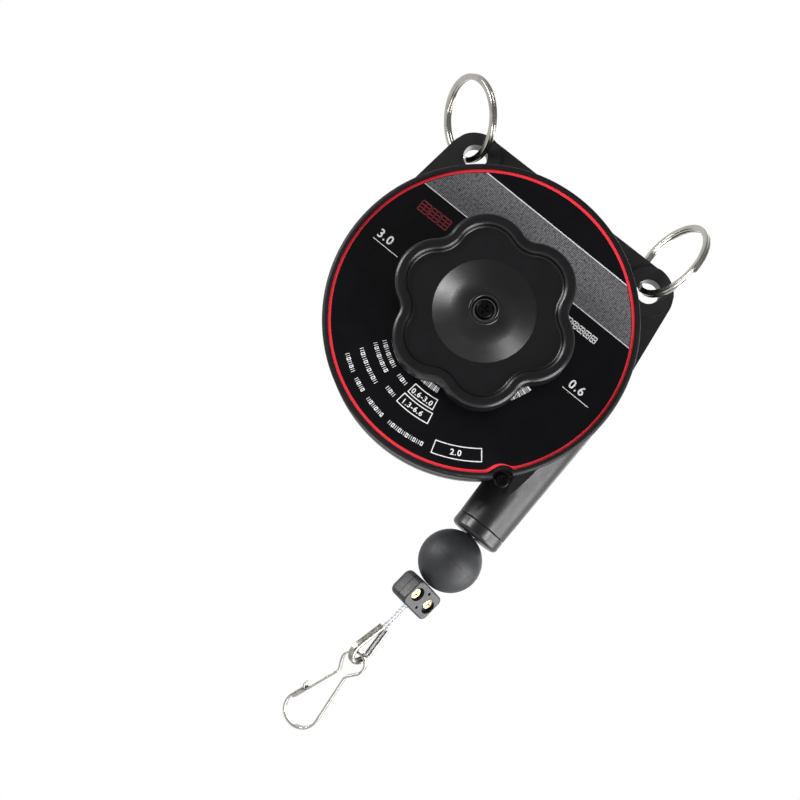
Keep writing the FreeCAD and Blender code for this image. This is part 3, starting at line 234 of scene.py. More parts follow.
@dataclass(frozen=True)
class TurnedFinish(Finish):
    """A finish with fine rings round the disc's axis, which draw the shine into a fan.

    Attributes:
        ring: Width of one ring; drawn coarser than a real tool mark, so that it shows.
    """

    ring: float = 0.35

    def height_socket(self, graph: Graph) -> Socket:
        """Return rings of one width round the axis."""
        phase = graph.maths("MULTIPLY", graph.length(*graph.flat()), math.tau / self.ring)
        return graph.maths("MULTIPLY_ADD", graph.maths("SINE", phase), 0.5, 0.5)

    def tangent_socket(self, graph: Graph) -> Socket:
        """Return the direction round the axis."""
        around = graph.add("VectorMath", {0: (0.0, 1.0, 0.0), 1: graph.millimetres()},
                           operation="CROSS_PRODUCT").outputs[0]
        return graph.add("VectorTransform", {0: around}, vector_type="VECTOR", convert_from="OBJECT",
                         convert_to="WORLD").outputs[0]


@dataclass(frozen=True)
class LabelFinish(Finish):
    """The printed plate: black gloss film with a red ring line and a silver mesh band.

    Attributes:
        line: Colour of the ring line.
        line_at: Radius and half width of the ring line.
        notch: Centre X, centre Z and radius of the line's bend round the screw pocket.
        ease: Length over which the line eases into its bend.
        border: Width of plain film inside the ring line.
        band: Lower and upper edge of the band above the axis.
        slope: Rise of the band per millimetre to the left.
        mesh: Pitch of the band's printed mesh.
        patchy: Width of the mesh's uneven patches.
        film_patch: Width of the film's colour patches.
        silver: Colour of the mesh's threads.
        ground: Colour between the threads.
        edge: Colour of the band's border lines.
        edge_half: Half width of the border lines.
    """

    line: str = "ea3643"
    line_at: tuple[float, float] = (57.2, 0.56)
    notch: Triple = (43.6, -42.1, 5.3)
    ease: float = 2.6
    border: float = 0.8
    band: tuple[float, float] = (26.9, 45.1)
    slope: float = 0.0157
    mesh: float = 0.62
    patchy: float = 0.9
    film_patch: float = 9.0
    silver: str = "8c8c8f"
    ground: str = "1d1d1f"
    edge: str = "d2d2d2"
    edge_half: float = 0.2

    def level(self, graph: Graph) -> tuple[Socket, Socket]:
        """Return X along the band and Z square to it."""
        x, z = graph.flat()
        return graph.maths("MULTIPLY_ADD", z, -self.slope, x), graph.maths("MULTIPLY_ADD", x, self.slope, z)

    def off_line(self, graph: Graph, x: Socket, z: Socket) -> Socket:
        """Measure the distance to the ring line's centre.

        Args:
            graph: Node tree to fill.
            x: X of the print.
            z: Z of the print.

        Returns:
            The distance, below 0 inside the line.
        """
        disc = graph.maths("SUBTRACT", graph.length(x, z), self.line_at[0])
        from_notch = graph.length(graph.maths("SUBTRACT", x, self.notch[0]),
                                  graph.maths("SUBTRACT", z, self.notch[1]))
        return graph.maths("SMOOTH_MAX", disc, graph.maths("SUBTRACT", self.notch[2], from_notch), self.ease)

    def colour_socket(self, graph: Graph) -> Socket:
        """Draw the print: film, mesh band, border lines and ring line.

        Args:
            graph: Node tree to fill.

        Returns:
            The print's colour.
        """
        x, z = self.level(graph)
        off = self.off_line(graph, x, z)
        low, high = self.band
        from_middle = graph.maths("ABSOLUTE", graph.maths("SUBTRACT", z, (low + high) / 2))
        from_edge = graph.maths("SUBTRACT", from_middle, (high - low) / 2)
        waves = [graph.maths("SINE", graph.maths("MULTIPLY", v, math.tau / self.mesh)) for v in (x, z)]
        weave = graph.maths("MULTIPLY", graph.step(graph.maths("MAXIMUM", *waves), -0.2, 0.9),
                            graph.step(graph.noise(self.patchy, 3.0), 0.1, 0.75))
        film = graph.mix(graph.step(graph.noise(self.film_patch), 0.3, 0.8), linear(self.colour),
                         linear(self.worn))
        mesh = graph.mix(weave, linear(self.ground), linear(self.silver))
        tone = graph.mix(graph.maths("LESS_THAN", from_edge, 0.0), film, mesh)
        rule = graph.maths("LESS_THAN", graph.maths("ABSOLUTE", from_edge), self.edge_half)
        tone = graph.mix(rule, tone, linear(self.edge))
        tone = graph.mix(graph.maths("GREATER_THAN", off, -self.border), tone, film)
        line = graph.maths("LESS_THAN", graph.maths("ABSOLUTE", off), self.line_at[1])
        return graph.mix(line, tone, linear(self.line))


# Cover: a dull, even black with the fine pits of a spark-eroded mould.
NYLON = Finish("glass-filled nylon, spark-eroded mould", "0b0b0d", "0f0f11", (0.44, 0.52), 0.35, 0.01,
               specular=0.3)
# Case: a little greyer and smoother, so that its edges catch a soft shine.
CASE_NYLON = Finish("glass-filled nylon, satin mould", "121214", "18181a", (0.34, 0.42), 0.4, 0.006,
                    specular=0.6)
# Nozzle: the glossiest of the shells' mouldings, with long clear streaks of light.
SPOUT_NYLON = Finish("glass-filled nylon, polished mould", "161618", "1c1c1f", (0.26, 0.34), 0.5, 0.004,
                     specular=0.6)
# Knob: deep black with a narrow satin shine along its bead.
KNOB_PLASTIC = Finish("phenolic moulding, satin", "0a0a0d", "0e0e11", (0.27, 0.33), 0.6, 0.002)
# Dome: turned rings spread each light into a fan from the middle outwards.
KNOB_DOME = TurnedFinish("phenolic moulding, turned dome", "0c0c0f", "101013", (0.29, 0.33), relief=0.001,
                         anisotropic=0.3, specular=0.7)
# Label: flat black film with crisp print.
LABEL = LabelFinish("polycarbonate film, screen printed", "08080b", "0c0c0f", (0.26, 0.32), 0.3, 0.002,
                    specular=0.2)
# Inks: thin, matt and even.
WHITE_INK = Finish("screen ink, white", "f0f0f0", "e0e0e2", (0.45, 0.6), 0.12, 0.004, 2.0)
RED_INK = Finish("screen ink, dark red", "8a1c2e", "6e1626", (0.45, 0.6), 0.12, 0.004, 1.0)
# Ball: dark grey, with broad soft light and no clear shine.
RUBBER = Finish("moulded rubber, matt", "202124", "292a2e", (0.5, 0.62), 0.5, 0.02, 6.0)
# Clamp: the palest of the plastics, finely grained.
CLAMP_PLASTIC = Finish("nylon moulding, clamp", "2a2a2e", "343439", (0.38, 0.48), 0.3, 0.008, 4.0)
# Clamp's screws and nuts: pale yellow with darker stains.
BRASS = Finish("turned brass", "cdbf94", "9c8b60", (0.24, 0.4), 0.12, 0.003, 1.2, Metal.YES)
# Rings and hook: warm bright plate that mirrors black and white.
NICKEL = Finish("spring steel, bright nickel plate", "c9c6bf", "b3b0a8", (0.12, 0.24), 0.5, 0.003, 5.0,
                Metal.YES)
# Rope: pale matt wires.
ROPE_STEEL = Finish("steel wire, galvanised", "c4c5c8", "b6b7ba", (0.55, 0.65), 0.12, 0.002, 1.5, Metal.YES)
# Thimble: uneven warm grey plate with a dull shine.
THIMBLE_STEEL = Finish("pressed steel, zinc plate", "bdbab1", "8f8c84", (0.2, 0.38), 0.4, 0.006, 2.5,
                       Metal.YES)
# Case and knob screws: nearly black, with a weak metal glint.
BLACK_STEEL = Finish("steel screw, black oxide", "1e1e20", "2a2a2c", (0.35, 0.5), 0.15, 0.004, 2.0,
                     Metal.YES)
# Bushes: brown and porous.
BRONZE = Finish("sintered bronze bush", "9a6d3e", "7d5630", (0.45, 0.6), 0.15, 0.01, 2.0, Metal.YES)
# Drum: pale grey cast skin, slightly rough.
ALUMINIUM = Finish("die-cast aluminium, as cast", "a9abad", "8f9295", (0.4, 0.55), 0.5, 0.015, 9.0,
                   Metal.YES)
# Power spring: dark blue strip with rolling marks drawn out along Y.
BLUED = Finish("spring strip, blued", "2b3140", "3d3a38", (0.28, 0.4), 0.3, 0.003, 7.0, Metal.YES,
               (1.0, 0.1, 1.0))
# Arbor and knob spring: bright steel with fine tool rings.
TURNED_STEEL = TurnedFinish("turned steel", "a7a8aa", "8e9093", (0.25, 0.38), relief=0.002, metal=Metal.YES)
# Washers, clip and spring cover: plain grey plate.
ZINC = Finish("steel sheet, zinc plate", "b3b5b6", "989b9e", (0.3, 0.45), 0.4, 0.005, 4.0, Metal.YES)


# ---- shapes ----------------------------------------------------------------------
def turned(angle: float, axis: str) -> Matrix:
    """Return a turn by degrees about one axis."""
    return Matrix.Rotation(math.radians(angle), 4, axis)


def moved(x: float, y: float, z: float) -> Matrix:
    """Return a move along the three axes."""
    return Matrix.Translation((x, y, z))


def polar(radius: float, angle: float) -> Vector:
    """Return the flat point at a radius and an angle in degrees."""
    return Vector((radius * math.cos(math.radians(angle)), radius * math.sin(math.radians(angle))))


def eased(share: float) -> float:
    """Return a share from 0 to 1 with a soft start and a soft end."""
    return share * share * (3 - 2 * share)


def upright(points: Iterable[Vector]) -> list[Vector]:
    """Stand flat points up in the XZ plane."""
    return [Vector((p.x, 0.0, p.y)) for p in points]


def arc(center: tuple[float, float], radius: float, start: float, end: float, steps: int) -> list[Vector]:
    """Return flat points of an arc from a start to an end angle, both ends included."""
    return [Vector(center) + polar(radius, start + (end - start) * k / steps) for k in range(steps + 1)]


def rounded(corners: Sequence[Triple], closed: bool = True, steps: int = 5) -> list[Vector]:
    """Round the corners of an outline.

    Args:
        corners: Flat corner points, each with its rounding radius.
        closed: Whether the last corner joins the first.
        steps: Number of steps in each rounding.

    Returns:
        The outline's flat points.
    """
    points: list[Vector] = []
    count = len(corners)
    for k, (x, z, radius) in enumerate(corners):
        here = Vector((x, z))
        if radius <= 0 or (not closed and k in (0, count - 1)):
            points.append(here)
            continue
        back = (Vector(corners[k - 1][:2]) - here).normalized()
        ahead = (Vector(corners[(k + 1) % count][:2]) - here).normalized()
        half = back.angle(ahead) / 2
        reach = radius / math.tan(half)
        middle = here + (back + ahead).normalized() * (radius / math.sin(half))
        first = here + back * reach - middle
        sweep = first.angle_signed(here + ahead * reach - middle)
        points += [middle + Matrix.Rotation(-sweep * j / steps, 2) @ first for j in range(steps + 1)]
    return points


def oblong(width: float, height: float, round_: float, steps: int = 4) -> list[Vector]:
    """Return the outline of a centred rectangle with round corners."""
    x, z = width / 2, height / 2
    return rounded([(-x, -z, round_), (x, -z, round_), (x, z, round_), (-x, z, round_)], True, steps)


def evenly(path: Sequence[Vector], pitch: float) -> list[Vector]:
    """Return points at even steps along a path.

    Args:
        path: Points of the path.
        pitch: Length of a step, fitted to the path's whole length.

    Returns:
        The new points, with both ends of the path.
    """
    lengths = [(b - a).length for a, b in zip(path, path[1:])]
    count = max(1, round(sum(lengths) / pitch))
    made, run, index = [], 0.0, 0
    for k in range(count + 1):
        station = sum(lengths) * k / count
        while index < len(lengths) - 1 and run + lengths[index] < station:
            run += lengths[index]
            index += 1
        share = min(1.0, (station - run) / lengths[index])
        made.append(path[index].lerp(path[index + 1], share))
    return made


def frames_along(path: Sequence[Vector], across: Vector, lay: float = 0.0) -> list[Matrix]:
    """Return a section frame at every point of a path, square to the path.

    Args:
        path: Points of the path.
        across: Direction that each section's Y leans towards.
        lay: Length of one full turn of the section; 0 for none.

    Returns:
        One matrix for each point, from the section's plane to the reel's frame.
    """
    made, travelled = [], 0.0
    for k, point in enumerate(path):
        ahead = (path[min(k + 1, len(path) - 1)] - path[max(k - 1, 0)]).normalized()
        travelled += (point - path[k - 1]).length if k else 0.0
        side = across.cross(ahead).normalized()
        axes = Matrix((side, ahead.cross(side), ahead)).transposed().to_4x4()
        made.append(Matrix.Translation(point) @ axes @ turned(360.0 * travelled / lay if lay else 0.0, "Z"))
    return made


class Shape:
    """A mesh under construction, drawn in millimetres in the reel's frame."""

    def __init__(self) -> None:
        """Start with an empty mesh."""
        self.mesh = bmesh.new()

    def ring(self, points: Sequence[Vector]) -> list[bmesh.types.BMEdge]:
        """Close a loop of edges through points.

        Args:
            points: The points in order.

        Returns:
            The loop's edges.
        """
        made = bmesh.ops.create_circle(self.mesh, segments=len(points), radius=1.0)["verts"]
        for vert, point in zip(made, points):
            vert.co = point
        return list({edge for vert in made for edge in vert.link_edges})

    def grow(self, edges: list[bmesh.types.BMEdge]) -> tuple[list, list]:
        """Extrude a loop of edges in place.

        Args:
            edges: The loop's edges.

        Returns:
            The new vertices, and the new loop's edges.
        """
        grown = bmesh.ops.extrude_edge_only(self.mesh, edges=edges)["geom"]
        verts = [item for item in grown if isinstance(item, bmesh.types.BMVert)]
        fresh = set(verts)
        return verts, [item for item in grown
                       if isinstance(item, bmesh.types.BMEdge) and set(item.verts) <= fresh]

    def sweep(self, section: Sequence[Vector], places: Sequence[Matrix]) -> None:
        """Carry a flat section through frames and cap both ends.

        Args:
            section: Closed outline in its own plane.
            places: One matrix for each station.
        """
        first = self.ring([places[0] @ point.to_3d() for point in section])
        edges = first
        for before, place in zip(places, places[1:]):
            verts, edges = self.grow(edges)
            bmesh.ops.transform(self.mesh, matrix=place @ before.inverted(), verts=verts)
        bmesh.ops.contextual_create(self.mesh, geom=first)
        bmesh.ops.contextual_create(self.mesh, geom=edges)

    def loft(self, loops: Sequence[Sequence[Vector]]) -> None:
        """Skin a closed chain of loops round the disc's axis.

        Args:
            loops: Loops with equal numbers of points, in order; the last one joins the first.
        """
        first = self.ring(loops[0])
        edges = first
        for loop in loops[1:]:
            verts, edges = self.grow(edges)
            verts.sort(key=lambda v: math.atan2(v.co.z, v.co.x) % math.tau)
            for vert, point in zip(verts, loop):
                vert.co = point
        bmesh.ops.bridge_loops(self.mesh, edges=first + edges)

    def lathe(self, profile: Sequence[Vector], steps: int) -> None:
        """Spin a closed profile round the Y axis.

        Args:
            profile: Its (radius, y) points in order.
            steps: Number of steps in a full turn.
        """
        verts = [self.mesh.verts.new((point.x, point.y, 0.0)) for point in profile]
        edges = [self.mesh.edges.new(pair) for pair in zip(verts, verts[1:] + verts[:1])]
        bmesh.ops.spin(self.mesh, geom=verts + edges, cent=(0, 0, 0), axis=(0, 1, 0), angle=math.tau,
                       steps=steps, use_merge=True)
        bmesh.ops.remove_doubles(self.mesh, verts=self.mesh.verts, dist=1e-4)

    def block(self, size: Triple, place: Matrix, round_: float) -> None:
        """Add a box with rounded edges.

        Args:
            size: Length along its X, Y and Z.
            place: Matrix of its centre.
            round_: Radius of its edges.
        """
        made = bmesh.ops.create_cube(self.mesh, size=1.0)["verts"]
        bmesh.ops.scale(self.mesh, vec=size, verts=made)
        edges = list({edge for vert in made for edge in vert.link_edges})
        made = bmesh.ops.bevel(self.mesh, geom=edges, offset=round_, offset_type="OFFSET", segments=3,
                               profile=0.5, affect="EDGES", material=-1)["verts"]
        bmesh.ops.transform(self.mesh, matrix=place, verts=made)

    def shift(self, place: Matrix) -> None:
        """Move the whole shape."""
        bmesh.ops.transform(self.mesh, matrix=place, verts=self.mesh.verts)

    def piece(self, name: str, body: str, finish: Finish, slot: str, replaces: Sequence[str] = (),
              sharp: float = 32.0) -> bpy.types.Object:
        """Turn the shape into a finished piece.

        Args:
            name: Name of the piece.
            body: Body that it rides on; empty to leave it on no body.
            finish: Its material.
            slot: Material slot of the record; not used.
            replaces: CAD nodes that it stands for.
            sharp: Edges sharper than this angle stay crisp.

        Returns:
            The new object, at the origin.
        """
        self.shift(TO_PART)
        bmesh.ops.recalc_face_normals(self.mesh, faces=self.mesh.faces)
        data = bpy.data.meshes.new(name)
        self.mesh.to_mesh(data)
        self.mesh.free()
        data.shade_smooth()
        data.set_sharp_from_angle(angle=math.radians(sharp))
        data.materials.append(finish.material())
        made = bpy.data.objects.new(name, data)
        bpy.context.scene.collection.objects.link(made)
        if body:
            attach(made, body)
        if replaces:
            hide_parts(*replaces)
        LOG.info("%s: %d faces on %s", name, len(data.polygons), body or "two bodies")
        return made


# ---- reel ------------------------------------------------------------------------
@dataclass
class Reel:
    """Shells, drum, arbor, bushes and screws, which keep the frame's own meshes.

    Attributes:
        finishes: Finish of each kept CAD node.
    """

    finishes: dict[str, Finish] = field(default_factory=lambda: {
        "front_cover": NYLON, "rear_shell": CASE_NYLON, "label_plate": LABEL, "lock_screw": BLACK_STEEL,
        "spout_nozzle": SPOUT_NYLON, "lock_ring": KNOB_PLASTIC, "cover_bush": BRONZE, "rear_bush": BRONZE,
        "rear_cap": CASE_NYLON, "arbor": TURNED_STEEL, "arbor_clip": ZINC, "knob_screw": BLACK_STEEL,
        "knob_washer": ZINC, "drum": ALUMINIUM, "drum_bush_front": BRONZE, "drum_bush_rear": BRONZE,
        "spring_cover": ZINC, "cover_screws": ZINC, "power_spring": BLUED, "rope_winding": ROPE_STEEL,
        "clamp_screws": BRASS, "clamp_nuts": BRASS})

    def build(self) -> None:
        """Give every kept CAD node its finish."""
        for node, finish in self.finishes.items():
            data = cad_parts[node].data
            data.materials.clear()
            data.materials.append(finish.material())
            LOG.info("%s: %s", node, finish.name)


# ---- print on the label ------------------------------------------------------------
@dataclass
class Print:
    """Plain numbers, frames, block signs and rows of short marks on the label's face.

    Attributes:
        proud: Height of the ink over the film.
        line: Width of the frames' lines.
        fine: Width of the short marks' strokes.
        filled: Share of its pitch that a short mark fills.
        bold: Thickening of the figures, as a share of their height.
        spacing: Spacing of the figures.
        figure: Height of a figure as a share of its font's size.
        sign_lines: Width of the signs' level and upright bars, as shares of the frames' lines.
        rows: Radius, first and last angle, height and number of marks of each row.
        frames: Inner and outer radius, first and last angle of each curved frame.
        numbers: Text, X and Z of its left foot, height, and turn in degrees.
        rules: X and Z of both ends of each underline.
        rule: Width of the underlines.
        white_signs: Number, X and Z of the first, pitch, size and bars of the white signs.
        red_signs: The same of the red signs.
    """

    proud: float = 0.02
    line: float = 0.36
    fine: float = 0.22
    filled: float = 0.68
    bold: float = 0.028
    spacing: float = 1.16
    figure: float = 0.7
    sign_lines: tuple[float, float] = (1.2, 0.9)
    rows: Sequence[tuple[float, float, float, float, int]] = (
        (52.0, -127.0, -118.5, 1.6, 5), (52.0, -116.0, -109.5, 1.6, 4), (52.0, -106.5, -96.5, 1.6, 6),
        (52.0, -93.5, -76.0, 1.6, 10), (46.3, -127.8, -109.5, 1.6, 9), (43.7, -105.6, -99.4, 1.6, 3),
        (40.8, -128.9, -111.6, 1.6, 8), (37.3, -129.0, -111.8, 1.6, 7), (37.5, -107.4, -99.8, 1.6, 3),
        (31.4, -96.0, -82.0, 2.2, 7), (31.4, -32.0, -16.0, 2.2, 8))
    frames: Sequence[tuple[float, float, float, float]] = (
        (34.5, 39.0, -97.0, -79.6), (39.9, 44.5, -97.6, -78.6), (48.5, 53.8, -72.4, -51.4))
    numbers: Sequence[tuple[str, float, float, float, float]] = (
        ("3.0", -51.2, 0.6, 3.4, -0.9), ("0.6", 40.6, 0.5, 3.4, -0.9), ("2.0", 22.2, -47.3, 2.2, 28.0),
        ("0.6-3.0", -3.7, -38.0, 2.0, 2.0), ("1.3-6.6", -4.2, -43.3, 2.0, 2.0))
    rules: Sequence[tuple[float, float, float, float]] = (
        (-51.4, -0.9, -39.6, -1.1), (39.4, -1.0, 51.8, -1.2))
    rule: float = 0.3
    white_signs: tuple[int, float, float, float, float, int] = (5, 24.6, 19.2, 2.95, 2.3, 3)
    red_signs: tuple[int, float, float, float, float, int] = (3, -45.4, 18.2, 4.75, 4.1, 4)

    def on_face(self, x: float, z: float, turn: float) -> Matrix:
        """Return the matrix from a flat drawing to the label's face, turned in degrees."""
        return moved(x, -self.proud, z) @ turned(-turn, "Y") @ turned(90.0, "X")

    def arc_bar(self, shape: Shape, inner: float, outer: float, start: float, end: float,
                hollow: bool) -> None:
        """Add one curved bar, or its outline alone.

        Args:
            shape: Shape to add it to.
            inner: Inner radius.
            outer: Outer radius.
            start: First angle in degrees.
            end: Last angle in degrees.
            hollow: Whether only a line round it is printed.
        """
        steps = max(2, round(abs(end - start)))
        grid = bmesh.ops.create_grid(shape.mesh, x_segments=steps, y_segments=1, size=0.5)["verts"]
        for vert in grid:
            radius = inner + (outer - inner) * (vert.co.y + 0.5)
            flat = polar(radius, start + (end - start) * (vert.co.x + 0.5))
            vert.co = (flat.x, -self.proud, flat.y)
        if hollow:
            shape.mesh.normal_update()
            faces = list({face for vert in grid for face in vert.link_faces})
            line = min(self.line, (outer - inner) / 5)
            bmesh.ops.inset_region(shape.mesh, faces=faces, thickness=line, use_boundary=True,
                                   use_even_offset=True)
            bmesh.ops.delete(shape.mesh, geom=faces, context="FACES")

    def short_marks(self, shape: Shape, radius: float, start: float, end: float, height: float,
                    count: int) -> None:
        """Add a curved row of short marks: pairs of strokes and hollow bars by turns.

        Args:
            shape: Shape to add it to.
            radius: Radius of the row's middle.
            start: First angle in degrees.
            end: Last angle in degrees.
            height: Height of the marks.
            count: Number of marks.
        """
        pitch = (end - start) / count
        thin = math.degrees(self.fine / radius)
        low, high = radius - height / 2, radius + height / 2
        for k in range(count):
            first = start + pitch * k
            last = first + pitch * self.filled
            if k % 2:
                self.arc_bar(shape, low, high, first, last, True)
            else:
                self.arc_bar(shape, low, high, first, first + thin, False)
                self.arc_bar(shape, low, high, last - thin, last, False)

    def straight_bar(self, shape: Shape, x0: float, z0: float, x1: float, z1: float, width: float) -> None:
        """Add a straight printed line.

        Args:
            shape: Shape to add it to.
            x0: X of its first end.
            z0: Z of its first end.
            x1: X of its second end.
            z1: Z of its second end.
            width: Width of the line.
        """
        turn = math.degrees(math.atan2(z1 - z0, x1 - x0))
        made = bmesh.ops.create_grid(shape.mesh, x_segments=1, y_segments=1, size=0.5)["verts"]
        stretch = Matrix.Diagonal((math.hypot(x1 - x0, z1 - z0), width, 1.0, 1.0))
        bmesh.ops.transform(shape.mesh, verts=made,
                            matrix=self.on_face((x0 + x1) / 2, (z0 + z1) / 2, turn) @ stretch)

    def number(self, shape: Shape, text: str, place: Matrix, height: float) -> None:
        """Add a number, drawn as a text curve and merged as a mesh.

        Args:
            shape: Shape to add it to.
            text: The number.
            place: Matrix of its left foot.
            height: Height of its figures.
        """
        curve = bpy.data.curves.new("number", "FONT")
        curve.body = text
        curve.size = height / self.figure
        curve.offset = height * self.bold
        curve.space_character = self.spacing
        curve.resolution_u = 3
        holder = bpy.data.objects.new("number", curve)
        bpy.context.scene.collection.objects.link(holder)
        bpy.context.view_layer.update()
        data = bpy.data.meshes.new_from_object(holder)
        data.transform(place)
        shape.mesh.from_mesh(data)
        bpy.data.objects.remove(holder)
        bpy.data.meshes.remove(data)

    def signs(self, shape: Shape, count: int, x: float, z: float, pitch: float, size: float,
              bars: int) -> None:
        """Add a row of plain block signs, each a square frame with bars in it.

        Args:
            shape: Shape to add it to.
            count: Number of signs.
            x: X of the first one's foot.
            z: Z of the feet.
            pitch: Distance from one to the next.
            size: Side of the square.
            bars: Level bars in each.
        """
        level, post = (self.line * share for share in self.sign_lines)
        for left in (x + pitch * k for k in range(count)):
            for height in (z + size * k / (bars - 1) for k in range(bars)):
                self.straight_bar(shape, left, height, left + size, height, level)
            for middle in (left + size * share for share in (0.0, 0.5, 1.0)):
                self.straight_bar(shape, middle, z, middle, z + size, post)

    def build(self) -> None:
        """Print the white and the red marks."""
        white = Shape()
        for row in self.rows:
            self.short_marks(white, *row)
        for inner, outer, start, end in self.frames:
            self.arc_bar(white, inner, outer, start, end, True)
        for ends in self.rules:
            self.straight_bar(white, *ends, self.rule)
        self.signs(white, *self.white_signs)
        for text, x, z, height, turn in self.numbers:
            self.number(white, text, self.on_face(x, z, turn), height)
        white.piece("label_print_white", "housing", WHITE_INK, "label_plate")
        red = Shape()
        self.signs(red, *self.red_signs)
        red.piece("label_print_red", "housing", RED_INK, "label_plate")


# ---- knob ------------------------------------------------------------------------
@dataclass
class Knob:
    """The lobed tension knob, one skin from its bead round to its toothed hub.

    Attributes:
        lobes: Number of lobes.
        reach: Radius at a lobe's tip.
        valley: Radius between lobes.
        dip: Radius of a valley's arc.
        rest: Angle of the first lobe in degrees.
        top: Height of the bead's front over the label's face, as every height here.
        under: Height of the bead's foot.
        bead: Width of the bead.
        web: Height of the dished face.
        web_back: Height of its back.
        dome: Radius of the dome's foot.
        dome_top: Height of the dome's mouth.
        slope: Radius, place along Y and rounding of the bend in the dome's slope.
        mouth: Radius and height where the dome's slope ends.
        bore: Radius of the screw's well.
        seat: Height of the well's floor.
        hole: Radius of the screw's hole.
        socket: Radius, half width between flats, and both heights of the arbor's socket.
        neck: Radius and height of the neck's foot.
        hub: Radius of the hub.
        root: Height of the teeth's root.
        tip: Height of the teeth's tips.
        teeth: Number of teeth under the hub.
        tooth: Angles from a tooth's middle at which its section stands, in degrees.
        rib: Length, height and thickness of the ribs inside the lobes.
        rib_at: Radius and place along Y of a rib's middle.
        points: Points in each loop.
    """

    lobes: int = 6
    reach: float = 36.0
    valley: float = 30.8
    dip: float = 6.3
    rest: float = 6.0
    top: float = 22.6
    under: float = 9.5
    bead: float = 4.4
    web: float = 19.4
    web_back: float = 17.0
    dome: float = 19.2
    dome_top: float = 24.0
    slope: Triple = (12.2, -22.1, 26.0)
    mouth: tuple[float, float] = (6.3, 23.75)
    bore: float = 4.7
    seat: float = 12.5
    hole: float = 2.15
    socket: tuple[float, float, float, float] = (6.06, 4.76, 10.5, 2.0)
    neck: tuple[float, float] = (12.0, 1.6)
    hub: float = 17.0
    root: float = 8.45
    tip: float = 6.05
    teeth: int = 12
    tooth: Sequence[float] = (-7.1, -3.5, 0.0, 3.5, 7.1)
    rib: Triple = (9.6, 5.4, 1.4)
    rib_at: tuple[float, float] = (21.4, -14.4)
    points: int = 240

    def lobed(self, inset: float) -> Radius:
        """Return the lobed outline, moved inwards.

        Args:
            inset: Distance that it is moved.

        Returns:
            A function from an angle to the outline's radius.
        """
        half = math.pi / self.lobes
        valley_at = self.valley + self.dip
        across = valley_at * math.cos(half)
        lobe = ((self.reach ** 2 + valley_at ** 2 - 2 * self.reach * across - self.dip ** 2)
                / (2 * (self.reach + self.dip - across)))
        far = self.reach - lobe
        toward = Vector((across - far, valley_at * math.sin(half)))
        joint = Vector((far, 0)) + toward.normalized() * (lobe - inset)
        switch = math.atan2(joint.y, joint.x)

        def radius(turn: float) -> float:
            """Follow a lobe's arc, or past its end the valley's.

            Args:
                turn: Angle in radians.

            Returns:
                The outline's radius.
            """
            off = abs((turn - math.radians(self.rest) + half) % (2 * half) - half)
            if off <= switch:
                return far * math.cos(off) + math.sqrt((lobe - inset) ** 2 - (far * math.sin(off)) ** 2)
            left = half - off
            return valley_at * math.cos(left) - math.sqrt((self.dip + inset) ** 2
                                                          - (valley_at * math.sin(left)) ** 2)

        return radius

    def flats(self, turn: float) -> float:
        """Return the radius of the arbor's socket at an angle: round with two flats."""
        return min(self.socket[0], self.socket[1] / max(abs(math.cos(turn)), 1e-6))

    def stations(self) -> list[tuple[Radius, float]]:
        """Return the skin's loops, from the bead's foot over the face, dome and hub back to it.

        Returns:
            The outline and the place along Y of each loop.
        """
        web, back = -self.web, -self.web_back
        bead = rounded([(1.2, -self.under, 0.0), (0.0, -self.under, 0.5), (0.0, -self.top, 1.5),
                        (self.bead, -self.top, 1.5), (self.bead, web, 0.8), (self.bead + 2.0, web, 0.0)],
                       False, 7)
        edge = (self.dome - 0.05, web - 0.15, 0.0)
        mouth = (self.mouth[0], -self.mouth[1], 0.0)
        slope = rounded([edge, self.slope, mouth], False, 12)
        well = rounded([mouth, (6.0, -23.7, 0.0), (5.75, -self.dome_top, 0.12),
                        (self.bore, -self.dome_top, 0.45), (self.bore, -self.seat, 0.4),
                        (self.hole, -self.seat, 0.0), (self.hole, -self.socket[2], 0.0)], False, 4)
        hub = rounded([(6.4, -self.neck[1], 0.0), (self.neck[0], -self.neck[1], 0.4),
                       (self.neck[0], -self.root, 0.0), (self.hub, -self.root, 0.3), (self.hub, back, 0.5),
                       (self.hub + 2.0, back, 0.0)], False, 4)
        foot = rounded([(self.bead + 1.2, back, 0.0), (self.bead, back, 0.5), (self.bead, -self.under, 0.5),
                        (3.0, -self.under, 0.0)], False, 4)
        round_face = [Vector((self.dome + 0.5, web)), Vector((self.dome, web)), Vector(edge[:2])]
        inner = [(lambda turn, size=p.x: size, p.y) for p in round_face + slope[1:] + well[1:]]
        inner += [(self.flats, -depth) for depth in self.socket[2:]]
        inner += [(lambda turn, size=p.x: size, p.y) for p in hub]
        return [(self.lobed(p.x), p.y) for p in bead] + inner + [(self.lobed(p.x), p.y) for p in foot]

    def add_teeth(self, shape: Shape) -> None:
        """Add the teeth under the hub that drop into the lock ring.

        Args:
            shape: Shape to add them to.
        """
        low, high, bevel = -self.root - 0.1, -self.tip, 0.15
        inner, outer = self.neck[0] + 0.7, self.hub - 0.1
        section = [Vector(p) for p in ((inner, low), (outer, low), (outer, high - bevel),
                                       (outer - bevel, high), (inner + bevel, high), (inner, high - bevel))]
        for k in range(self.teeth):
            middle = -360.0 / self.teeth * (k + 0.5)
            shape.sweep(section, [turned(middle + off, "Y") for off in self.tooth])

